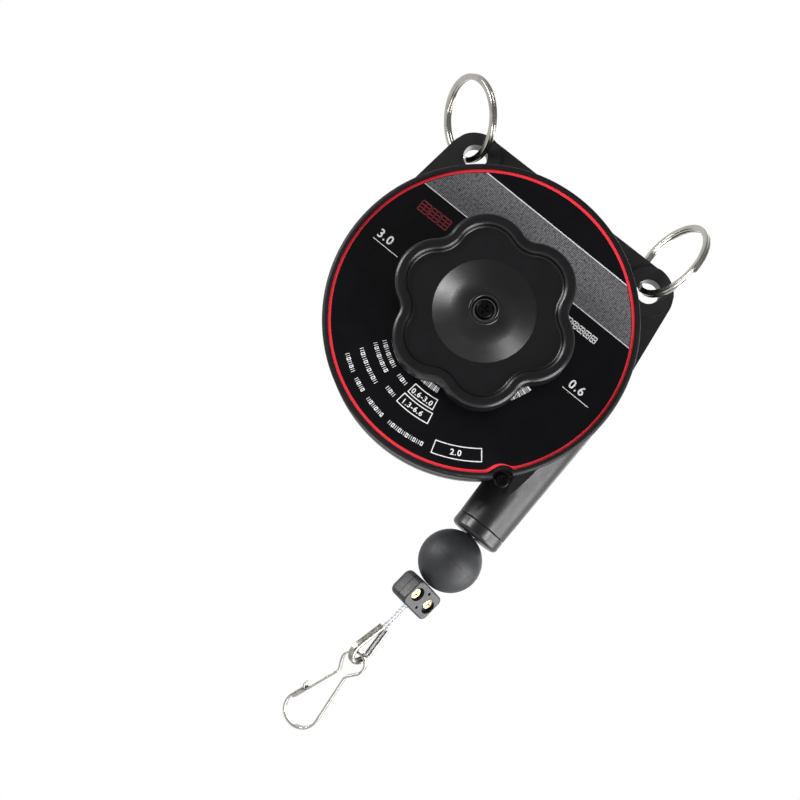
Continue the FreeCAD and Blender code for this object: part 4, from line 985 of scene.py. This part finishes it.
    def build(self) -> None:
        """Skin the knob, add its teeth and ribs, and turn its dome's faces to their own finish."""
        turns = [math.tau * k / self.points for k in range(self.points)]
        shape = Shape()
        shape.loft([[Vector((reach(t) * math.cos(t), depth, reach(t) * math.sin(t))) for t in turns]
                    for reach, depth in self.stations()])
        self.add_teeth(shape)
        for k in range(self.lobes):
            lobe = turned(-self.rest - 360.0 / self.lobes * k, "Y")
            shape.block(self.rib, lobe @ moved(*self.rib_at, 0.0), 0.3)
        made = shape.piece("knob_skin", "knob", KNOB_PLASTIC, "knob", ["knob"])
        made.data.materials.append(KNOB_DOME.material())
        for face in made.data.polygons:
            place = TO_PART.inverted() @ face.center
            if math.hypot(place.x, place.z) < self.dome and place.y < -self.web - 0.02:
                face.material_index = 1


@dataclass
class KnobSpring:
    """The small coil spring between the knob and its screw's washer.

    Attributes:
        mean: Radius of the wire's middle.
        wire: Radius of the wire.
        start: Place along Y of its end at the knob.
        end: Place along Y of its end at the washer.
        coils: Number of coils.
        steps: Stations in one coil.
    """

    mean: float = 3.15
    wire: float = 0.35
    start: float = -12.9
    end: float = -19.4
    coils: int = 5
    steps: int = 28

    def build(self) -> None:
        """Sweep the wire round its coils."""
        count = self.coils * self.steps
        path = []
        for k in range(count + 1):
            flat = polar(self.mean, 360.0 * k / self.steps)
            path.append(Vector((flat.x, self.start + (self.end - self.start) * k / count, flat.y)))
        shape = Shape()
        shape.sweep(arc((0.0, 0.0), self.wire, 0.0, 330.0, 11), frames_along(path, Vector((0, 1, 0))))
        made = shape.piece("knob_coil_spring", "arbor", TURNED_STEEL, "knob_spring", ["knob_spring"])
        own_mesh(made)


# ---- rings -----------------------------------------------------------------------
@dataclass
class SplitRing:
    """A hardened split ring: two coils of flattened wire joined by a slanting step.

    Attributes:
        side: -1 for the left ear, 1 for the right one.
        stand: Direction that the ring stands in, in degrees.
        radius: Outside radius.
        width: Width of the flattened wire, from inside to outside.
        coil: Distance from one coil to the next.
        gap: Gap between the coils.
        start: Angle of the first end in degrees.
        end: Angle that the wire covers in degrees.
        step: Angle at which the slanting step starts, and its length.
        split: Turn of the ring in its own plane.
        twist: Turn of its plane about its upright.
        ear_hole: Radius of the ear's hole.
        ear_thick: Thickness of the ear.
        slack: Clearance in the hole.
        steps: Stations along the wire.
    """

    side: int
    stand: float
    radius: float = 17.48
    width: float = 2.4
    coil: float = 1.25
    gap: float = 0.03
    start: float = 22.8
    end: float = 694.4
    step: tuple[float, float] = (358.0, 24.0)
    split: float = 20.0
    twist: float = 30.0
    ear_hole: float = 4.75
    ear_thick: float = 8.0
    slack: float = 0.3
    steps: int = 232

    def path(self) -> list[Vector]:
        """Draw the wire's centre line over both coils.

        Returns:
            The points, flat in XY but for the step.
        """
        points = []
        for k in range(self.steps + 1):
            turn = self.start + self.end * k / self.steps
            share = eased(min(max((turn - self.step[0]) / self.step[1], 0.0), 1.0))
            flat = polar(self.radius - self.width / 2, turn)
            points.append(Vector((flat.x, flat.y, self.coil / 2 * (1 - 2 * share))))
        return points

    def place(self) -> Matrix:
        """Hang the ring in its ear hole.

        Returns:
            The matrix from the ring's own plane to the reel's frame.
        """
        half_chord = self.ear_thick / 2 / math.cos(math.radians(self.twist))
        sag = half_chord ** 2 / (2 * (self.radius - self.width))
        rise = self.ear_hole - self.slack + self.radius - 2 * self.width - sag
        return (moved(self.side * EYE.x, EYE.y, EYE.z) @ turned(90 - self.stand, "Y") @ moved(0.0, 0.0, rise)
                @ turned(self.twist, "Z") @ turned(90, "Y") @ turned(self.split, "Z"))

    def build(self) -> None:
        """Sweep the flattened wire and hang the ring."""
        shape = Shape()
        shape.sweep(oblong(self.width, self.coil - self.gap, 0.42),
                    frames_along(self.path(), Vector((0, 0, 1))))
        shape.shift(self.place())
        word = "left" if self.side < 0 else "right"
        shape.piece(f"split_ring_{word}", f"ring_{word}", NICKEL, f"ring_{word}", [f"ring_{word}"])


# ---- chain -----------------------------------------------------------------------
@dataclass
class Chain:
    """Rope, ball and thimble, drawn straight down the leaning rope below the nozzle.

    Attributes:
        top: Where the chain starts, at the nozzle's mouth.
        lean: Lean of the chain in degrees.
        turn: Turn of the rope eye's plane in degrees.
        rope: Radius of the rope.
        lay: Length of one turn of the rope's strands.
        pitch: Distance between the rope's stations, in the spout and in the eye.
        ball: Radius of the ball.
        ball_gap: Gap between nozzle and ball.
        clamp_gap: Gap between ball and clamp.
        strand: Half the distance between the eye's two strands.
        jog: Height and rounding of the rope's sidestep in the clamp.
        spread: Rounding where the strands part.
        merge_drop: Drop from the clamp's top to where the strands part.
        merge_rise: Rise from the thimble's centre to there.
        bend: Radius of the eye's bend.
        wall: Wall of the thimble.
        channel: Half width of the thimble's channel.
        flange: How far the thimble's flanges reach past the rope's middle.
    """

    top: Triple = (48.5, 25.0, -64.5)
    lean: float = 6.0
    turn: float = 55.0
    rope: float = 0.7
    lay: float = 9.0
    pitch: tuple[float, float] = (0.55, 0.6)
    ball: float = 12.4
    ball_gap: float = 0.1
    clamp_gap: float = 0.25
    strand: float = 0.76
    jog: tuple[float, float] = (2.3, 3.0)
    spread: float = 7.0
    merge_drop: float = 20.0
    merge_rise: float = 15.5
    bend: float = 4.5
    wall: float = 0.55
    channel: float = 1.45
    flange: float = 0.4

    @property
    def clamp_top(self) -> float:
        """Height of the clamp's upper face below the nozzle."""
        return -2 * self.ball - self.ball_gap - self.clamp_gap

    @property
    def merge(self) -> float:
        """Height at which the two strands part."""
        return self.clamp_top - self.merge_drop

    @property
    def eye(self) -> float:
        """Height of the thimble's round centre."""
        return self.merge - self.merge_rise

    @property
    def opening(self) -> float:
        """Half angle between the strands and the rope's line.

        Returns:
            The angle in radians.
        """
        angle = 0.0
        for _ in range(30):      # each pass brings the angle closer
            angle = math.asin((self.bend - self.strand * math.cos(angle)) / self.merge_rise)
        return angle

    @property
    def touch(self) -> Vector:
        """Flat point where the right strand meets the bend."""
        return Vector((0.0, self.eye)) + polar(self.bend, math.degrees(self.opening))

    def place(self, turn: float = 0.0) -> Matrix:
        """Return the matrix from the chain's straight drawing to the reel's frame."""
        return moved(*self.top) @ turned(self.lean, "Y") @ turned(turn, "Z")

    def strands(self) -> list[Vector]:
        """Draw a rope of six outer strands.

        Returns:
            Its flat outline.
        """
        points = []
        for k in range(6):
            for step in (-24.0, -12.0, 0.0, 12.0, 24.0):
                off = math.radians(step)
                reach = 2 / 3 * math.cos(off) + math.sqrt(1 / 9 - (2 / 3 * math.sin(off)) ** 2)
                points.append(polar(self.rope * reach, 60.0 * k + step))
        return points

    def rope_path(self) -> list[Vector]:
        """Draw the rope's line from the nozzle round the thimble and back into the clamp.

        Returns:
            Evenly spaced points.
        """
        a, touch, top = math.degrees(self.opening), self.touch, self.clamp_top
        start, (drop, ease) = top - 0.3, self.jog
        flat = rounded([(0.0, -0.2, 0.0), (0.0, start, ease), (-self.strand, start - drop, ease),
                        (-self.strand, self.merge, self.spread), (-touch.x, touch.y, 0.0)], False, 8)
        flat += arc((0.0, self.eye), self.bend, 180.0 - a, 360.0 + a, 40)[1:]
        flat += rounded([(touch.x, touch.y, 0.0), (self.strand, self.merge, self.spread),
                         (self.strand, top - 1.6, 0.0)], False, 8)[1:]
        return evenly(upright(flat), self.pitch[1])

    def build_rope(self) -> None:
        """Sweep the stranded rope: the lead in the spout, and the eye."""
        top = Vector(self.top)
        lead = evenly([Vector((top.x, top.y, -0.2)), top], self.pitch[0])
        shape = Shape()
        shape.sweep(self.strands(), frames_along(lead, Vector((0, 1, 0)), self.lay))
        made = shape.piece("rope_lead_strands", "", ROPE_STEEL, "rope_lead", ["rope_lead"], 50.0)
        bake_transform(made)
        shape = Shape()
        shape.sweep(self.strands(), frames_along(self.rope_path(), Vector((0, 1, 0)), self.lay))
        shape.shift(self.place(self.turn))
        shape.piece("rope_eye_strands", "rope_end", ROPE_STEEL, "rope_eye", ["rope_eye"], 50.0)

    def build_ball(self) -> None:
        """Spin the bored rubber ball with its fine mould line."""
        bore, lip, line = self.rope + 0.05, 0.35, 0.12
        start = math.degrees(math.asin((bore + lip) / self.ball))
        profile = arc((0.0, 0.0), self.ball - line / 2, 90.0 - start, 0.9, 30)
        profile += [Vector((self.ball, line)), Vector((self.ball, -line))]
        profile += arc((0.0, 0.0), self.ball - line / 2, -0.9, start - 90.0, 30)
        end = self.ball * math.cos(math.radians(start)) - lip
        profile += [Vector((bore, height)) for height in (-end, 0.0, end)]
        shape = Shape()
        shape.lathe(profile, steps=96)
        shape.shift(self.place() @ moved(0.0, 0.0, -self.ball - self.ball_gap) @ turned(90.0, "X"))
        shape.piece("stop_ball_rubber", "rope_end", RUBBER, "stop_ball", ["stop_ball"])

    def thimble_section(self) -> list[Vector]:
        """Draw the channel: a round back and two flanges, open to the rope.

        Returns:
            Its flat outline, round the rope's middle.
        """
        back, floor, half = -self.rope - self.wall, -self.rope - 0.06, self.channel
        side = [(back, -half + 0.6, 0.3), (back, half - 0.6, 0.3), (back + 0.6, half, 0.3),
                (self.flange, half, 0.15), (self.flange, half - 0.4, 0.15), (-0.45, half - 0.45, 0.2),
                (floor, 0.5, 0.2)]
        other = [(x, -y, radius) for x, y, radius in reversed(side[2:])]
        return [Vector((p.x, -p.y)) for p in rounded(side + other, True, 3)]

    def build_thimble(self) -> None:
        """Sweep the pressed channel round the eye."""
        a, open_ = math.degrees(self.opening), self.opening
        meet = (self.channel + 0.1) / math.cos(open_)
        rise = self.merge_rise - (meet - self.strand) / math.tan(open_)
        length = (rise - self.bend * math.sin(open_)) / math.cos(open_)
        up = Vector((-math.sin(open_), math.cos(open_)))
        right = [self.touch + up * (length * k / 8) for k in range(8, 0, -1)]
        left = [Vector((-p.x, p.y)) for p in reversed(right)]
        path = upright(right + arc((0.0, self.eye), self.bend, a, -180.0 - a, 48) + left)
        shape = Shape()
        shape.sweep(self.thimble_section(), frames_along(path, Vector((0, 1, 0))))
        shape.shift(self.place(self.turn))
        shape.piece("thimble_channel", "rope_end", THIMBLE_STEEL, "thimble", ["thimble"])

    def build(self) -> None:
        """Build the rope, the ball and the thimble."""
        self.build_rope()
        self.build_ball()
        self.build_thimble()


@dataclass
class RopeClamp:
    """Two moulded halves screwed together over the rope's two strands.

    Attributes:
        chain: Chain that it grips.
        turn: Turn about the rope in degrees.
        size: Width across the screws and height along the rope.
        depths: Depth of the flat front half and of the round-backed rear half.
        edges: Rounding of their outer faces' edges.
        split: Half the gap between the halves.
        rim: Width of the flat strip inside a face's rounding.
        corner: Radius of the outline's corners.
        holes: X, height from the middle, radius and depth of each hole in the face.
    """

    chain: Chain
    turn: float = 48.0
    size: tuple[float, float] = (16.6, 11.3)
    depths: tuple[float, float] = (4.4, 6.4)
    edges: tuple[float, float] = (0.8, 2.8)
    split: float = 0.12
    rim: float = 0.25
    corner: float = 2.2
    holes: Sequence[tuple[float, float, float, float]] = (
        (-4.5, 0.35, 2.95, 1.9), (4.5, -0.35, 2.95, 1.9), (0.0, 3.5, 0.65, 0.8), (0.0, -3.5, 0.65, 0.8))

    def half(self, side: int, depth: float, edge: float) -> Shape:
        """Build one half outward from the split.

        Args:
            side: -1 for the front half, 1 for the rear one.
            depth: Distance of its outer face from the rope's line.
            edge: Rounding of the outer face's edges.

        Returns:
            The half, round the clamp's middle.
        """
        width, height = self.size
        stand = turned(90.0, "X")
        turns = [math.radians(15.0 * k) for k in range(7)]
        insets = [(edge * (1 - math.cos(t)), edge * (1 - math.sin(t))) for t in turns]
        insets.append((edge + self.rim, 0.0))
        places = [moved(0.0, side * self.split, 0.0) @ stand]
        for inset, back in insets:
            thin = Matrix.Diagonal((1 - 2 * inset / width, 1 - 2 * inset / height, 1.0, 1.0))
            places.append(moved(0.0, side * (depth - back), 0.0) @ stand @ thin)
        shape = Shape()
        shape.sweep(oblong(width, height, self.corner, 5), places)
        return shape

    def sink(self, shape: Shape) -> None:
        """Sink the holes into the front half's face.

        Args:
            shape: The front half, capped with one flat face.
        """
        depth = self.depths[0]
        face = min(shape.mesh.faces, key=lambda item: item.calc_center_median().y)
        edges = list(face.edges)
        bmesh.ops.delete(shape.mesh, geom=[face], context="FACES_ONLY")
        for x, z, radius, deep in self.holes:
            circle = arc((x, z), radius, 0.0, 345.0, 23)
            ring = shape.ring([Vector((p.x, -depth, p.y)) for p in circle])
            verts, floor = shape.grow(ring)
            bmesh.ops.translate(shape.mesh, vec=(0.0, deep, 0.0), verts=verts)
            bmesh.ops.contextual_create(shape.mesh, geom=floor)
            edges += ring
        bmesh.ops.triangle_fill(shape.mesh, use_beauty=True, normal=(0, -1, 0), edges=edges)

    def build(self) -> None:
        """Build both halves round the rope."""
        front = self.half(-1, self.depths[0], self.edges[0])
        self.sink(front)
        rear = self.half(1, self.depths[1], self.edges[1])
        place = self.chain.place(self.turn) @ moved(0.0, 0.0, self.chain.clamp_top - self.size[1] / 2)
        for shape, word in ((front, "front"), (rear, "rear")):
            shape.shift(place)
            shape.piece(f"clamp_half_{word}", "rope_end", CLAMP_PLASTIC, f"clamp_{word}", [f"clamp_{word}"])


@dataclass
class SnapHook:
    """The bent strip hook with its springy arm and its clasp.

    Attributes:
        chain: The chain that it hangs from.
        turn: Turn of the hook's plane about the rope in degrees.
        lean: Lean of the hook in its own plane in degrees.
        tilt: Tilt out of the upright in degrees.
        side: How far it hangs beside the rope's line.
        seat: Height of the eye's middle over the thimble's inner face.
        thick: Thickness of the strip.
        width: Width of the strip.
        eye: Radius of the eye.
        neck: X and height of the right neck.
        neck_round: Radius of the right neck's bend.
        bow: Radius of the bow.
        bow_down: Drop of the bow's centre.
        clasp: Length of the clasp's cheeks.
        gap: Gap between the clasp and the arm.
        cheek: Thickness of the cheeks.
        lip: Length of the clasp's bent lip.
        bow_steps: Stations along the bow.
        arm_steps: Stations along the arm.
    """

    chain: Chain
    turn: float = -4.0
    lean: float = 9.0
    tilt: float = 20.0
    side: float = 1.0
    seat: float = 2.0
    thick: float = 0.9
    width: float = 3.0
    eye: float = 4.7
    neck: tuple[float, float] = (1.75, -11.0)
    neck_round: float = 2.0
    bow: float = 6.5
    bow_down: float = 33.4
    clasp: float = 6.2
    gap: float = 0.3
    cheek: float = 0.7
    lip: float = 1.5
    bow_steps: int = 56
    arm_steps: int = 24

    def place(self) -> Matrix:
        """Hang the hook in the thimble's loop.

        Returns:
            The matrix from the hook's own plane to the reel's frame.
        """
        chain = self.chain
        seat = chain.eye - (chain.bend - chain.rope - chain.wall) + self.seat + self.thick / 2
        return (chain.place(self.turn) @ moved(self.side, 0.0, seat) @ turned(self.tilt, "X")
                @ turned(self.lean - chain.lean, "Y"))

    def ends(self) -> tuple[float, float]:
        """Find where the eye and the bow meet the necks.

        Returns:
            The angle on the eye and the angle on the bow, in degrees.
        """
        to_eye = Vector(self.neck) - Vector((0.0, -self.eye))
        to_bow = Vector(self.neck) - Vector((0.0, -self.bow_down))
        at_eye = math.atan2(to_eye.y, to_eye.x) + math.acos(self.eye / to_eye.length)
        at_bow = math.atan2(to_bow.y, to_bow.x) - math.acos(self.bow / to_bow.length)
        return math.degrees(at_eye), math.degrees(at_bow)

    def sweep(self, shape: Shape, flat: Sequence[Vector], width: float, thick: float) -> None:
        """Carry the strip's rounded section along a path of the hook's plane."""
        shape.sweep(oblong(thick, width, 0.22), frames_along(upright(flat), Vector((0, 1, 0))))

    def build_clasp(self, shape: Shape, base: Vector, way: Vector, out: Vector) -> None:
        """Add the clasp: a bent tongue between two cheeks that hold the arm.

        Args:
            shape: Shape to add it to.
            base: Flat point where it starts.
            way: Direction along the arm.
            out: Direction away from the hook's middle.
        """
        wide = self.width + 2 * (self.gap + self.cheek)
        deep = self.thick * 1.5 + self.gap      # the cheeks reach just past the arm's middle
        top = base + way * self.clasp
        tip = top + (out * 0.8 + way * 0.6) * self.lip
        tongue = rounded([(*(base - way * 0.2), 0.0), (*top, 1.2), (*tip, 0.0)], False, 6)
        self.sweep(shape, tongue, wide, self.thick * 0.92)
        middle = base + way * (self.clasp / 2) - out * (deep / 2 - self.thick / 2 + 0.2)
        lean = turned(-math.degrees(math.atan2(way.y, way.x)), "Y")
        for side in (-1, 1):
            place = moved(middle.x, side * (wide - self.cheek) / 2, middle.y) @ lean
            shape.block((self.clasp, self.cheek, deep), place, 0.2)

    def build(self) -> None:
        """Build the hook with its clasp, and the arm."""
        at_eye, at_bow = self.ends()
        centre, right = Vector((0.0, -self.bow_down)), Vector(self.neck)
        left = Vector((-right.x, right.y))
        low = centre + polar(self.bow, 180.0 - at_bow)
        way = (left - low).normalized()
        out = Vector((-way.y, way.x))
        shift = self.thick + self.gap
        base = low + out * shift
        bow = []
        for k in range(self.bow_steps + 1):
            share = k / self.bow_steps
            reach = self.bow + shift * (1 - eased(share))
            bow.append(centre + polar(reach, 180.0 - at_bow + (180.0 + 2 * at_bow) * share))
        loop = arc((0.0, -self.eye), self.eye, at_eye, 180.0 - at_eye, 40)
        corner = rounded([(*bow[-1], 0.0), (*right, self.neck_round), (*loop[0], 0.0)], False, 6)
        shape = Shape()
        self.sweep(shape, [base + way * 0.6] + bow + corner[1:-1] + loop + [left], self.width, self.thick)
        self.build_clasp(shape, base, way, out)
        shape.shift(self.place())
        shape.piece("snap_hook_strip", "hook", NICKEL, "snap_hook", ["snap_hook"])
        shape = Shape()
        start, end = low + way * 0.8, left - way * 0.6
        arm = [start.lerp(end, k / self.arm_steps) for k in range(self.arm_steps + 1)]
        self.sweep(shape, arm, self.width, self.thick)
        shape.shift(self.place())
        shape.piece("hook_arm_strip", "hook_arm", NICKEL, "hook_arm", ["hook_arm"])


# ---- studio ----------------------------------------------------------------------
def stand_in(name: str, data: bpy.types.ID) -> bpy.types.Object:
    """Add an object of the studio to the scene.

    Args:
        name: Name of the object.
        data: Its mesh, light or camera.

    Returns:
        The new object.
    """
    made = bpy.data.objects.new(name, data)
    bpy.context.scene.collection.objects.link(made)
    return made


@dataclass(frozen=True)
class Lamp:
    """A soft area light aimed at the disc.

    Attributes:
        name: Name of the light.
        place: Position from the disc's centre in metres.
        size: Side of the square in metres.
        power: Power in watts.
    """

    name: str
    place: Triple
    size: float
    power: float

    def build(self) -> None:
        """Add the light."""
        data = bpy.data.lights.new(self.name, "AREA")
        data.size = self.size
        data.energy = self.power
        lamp = stand_in(self.name, data)
        lamp.location = DISC + Vector(self.place)
        lamp.rotation_mode = "QUATERNION"
        lamp.rotation_quaternion = (-Vector(self.place)).to_track_quat("-Z", "Y")


@dataclass
class Studio:
    """Pale floor, soft lights, bright surroundings and the camera.

    Attributes:
        azimuth: Camera's turn about the vertical in degrees.
        elevation: Camera's height over the horizon in degrees.
        roll: Camera's roll in degrees.
        distance: Camera's distance from the disc in metres.
        offset: Shift of the camera along its own right and up, in metres.
        lens: Focal length in mm.
        sensor: Width of the camera's sensor in mm.
        floor_z: Height of the floor in metres, below the reach of the drawn-out rope.
        floor_radius: Radius of the floor in metres.
        glow: Share of its own brightness that the floor shows to the eye.
        ambient: Strength of the surroundings' light in front, and its rise towards the back.
        lamps: The lights.
    """

    azimuth: float = 3.80
    elevation: float = -5.79
    roll: float = 38.84
    distance: float = 0.700
    offset: tuple[float, float] = (-0.03061, -0.03025)
    lens: float = 83.8
    sensor: float = 36.0
    floor_z: float = -2.6
    floor_radius: float = 4.0
    glow: float = 0.7
    ambient: tuple[float, float] = (0.22, 0.6)
    lamps: Sequence[Lamp] = (
        Lamp("key", (-0.66, -0.54, 0.04), 0.24, 3.6),
        Lamp("key side", (-0.82, -0.18, -0.1), 0.3, 4.0),
        Lamp("fill", (0.6, -0.56, -0.08), 0.24, 3.4),
        Lamp("fill side", (0.84, -0.12, -0.24), 0.7, 11.0),
        Lamp("rear", (0.3, 0.9, 0.4), 0.8, 4.0))

    def camera(self) -> None:
        """Set the camera at its angle, rolled about its own axis."""
        a, e, roll = (math.radians(v) for v in (self.azimuth, self.elevation, self.roll))
        back = Vector((math.sin(a) * math.cos(e), -math.cos(a) * math.cos(e), math.sin(e)))
        level = Vector((math.cos(a), math.sin(a), 0.0))
        square = back.cross(level)
        right = level * math.cos(roll) + square * math.sin(roll)
        up = square * math.cos(roll) - level * math.sin(roll)
        data = bpy.data.cameras.new("camera")
        data.lens, data.sensor_width = self.lens, self.sensor
        data.clip_start, data.clip_end = 0.05, 30.0
        camera = stand_in("camera", data)
        place = DISC + back * self.distance + right * self.offset[0] + up * self.offset[1]
        camera.matrix_world = Matrix.Translation(place) @ Matrix((right, up, back)).transposed().to_4x4()
        bpy.context.scene.camera = camera

    def floor_material(self) -> bpy.types.Material:
        """Paint the floor: matt to the part's own light, near white to the eye.

        Returns:
            The material.
        """
        made = bpy.data.materials.new("painted board, pale")
        made.use_nodes = True
        graph = Graph(made.node_tree)
        tone = graph.mix(graph.noise(60.0), linear("f2f2f2"), linear("f8f8f8"))
        matt = graph.add("BsdfDiffuse", {"Color": tone})
        bright = graph.add("Emission", {"Color": tone, "Strength": 1.0})
        rays = graph.add("LightPath").outputs
        seen = graph.maths("MAXIMUM", rays["Is Camera Ray"], rays["Is Glossy Ray"])
        both = graph.add("MixShader", {0: graph.maths("MULTIPLY", seen, self.glow), 1: matt.outputs[0],
                                       2: bright.outputs[0]})
        graph.add("OutputMaterial", {"Surface": both.outputs[0]})
        return made

    def floor(self) -> None:
        """Lay the pale round floor."""
        shape = bmesh.new()
        bmesh.ops.create_circle(shape, cap_ends=True, segments=96, radius=self.floor_radius)
        bmesh.ops.translate(shape, vec=(0.0, 0.0, self.floor_z), verts=shape.verts)
        data = bpy.data.meshes.new("floor")
        shape.to_mesh(data)
        shape.free()
        data.materials.append(self.floor_material())
        floor = stand_in("floor", data)

    def world(self) -> None:
        """Surround the object with white to the eye, dimmer towards the front for its light."""
        world = bpy.data.worlds.new("studio")
        bpy.context.scene.world = world
        world.use_nodes = True
        graph = Graph(world.node_tree)
        parts = graph.add("SeparateXYZ", {0: graph.add("TexCoord").outputs["Generated"]})
        base, rise = self.ambient
        level = graph.maths("MULTIPLY_ADD", graph.step(parts.outputs[1], -0.35, 0.6), rise, base)
        rays = graph.add("LightPath").outputs
        seen = graph.maths("MAXIMUM", rays["Is Camera Ray"], rays["Is Transmission Ray"])
        back = graph.add("Background", {"Color": (1.0, 1.0, 1.0, 1.0),
                                        "Strength": graph.maths("MAXIMUM", level, seen)})
        graph.add("OutputWorld", {"Surface": back.outputs[0]})

    def build(self) -> None:
        """Build the camera, the floor, the surroundings and the lights."""
        bpy.context.scene.view_settings.view_transform = "Standard"
        self.camera()
        self.floor()
        self.world()
        for lamp in self.lamps:
            lamp.build()


def main() -> None:
    """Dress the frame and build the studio."""
    logging.basicConfig(level=logging.INFO, format="%(message)s")
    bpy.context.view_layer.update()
    Studio().build()
    Reel().build()
    Print().build()
    Knob().build()
    KnobSpring().build()
    SplitRing(-1, 135.0).build()
    SplitRing(1, 90.0).build()
    chain = Chain()
    chain.build()
    RopeClamp(chain).build()
    SnapHook(chain).build()


if __name__ == "__main__":
    main()
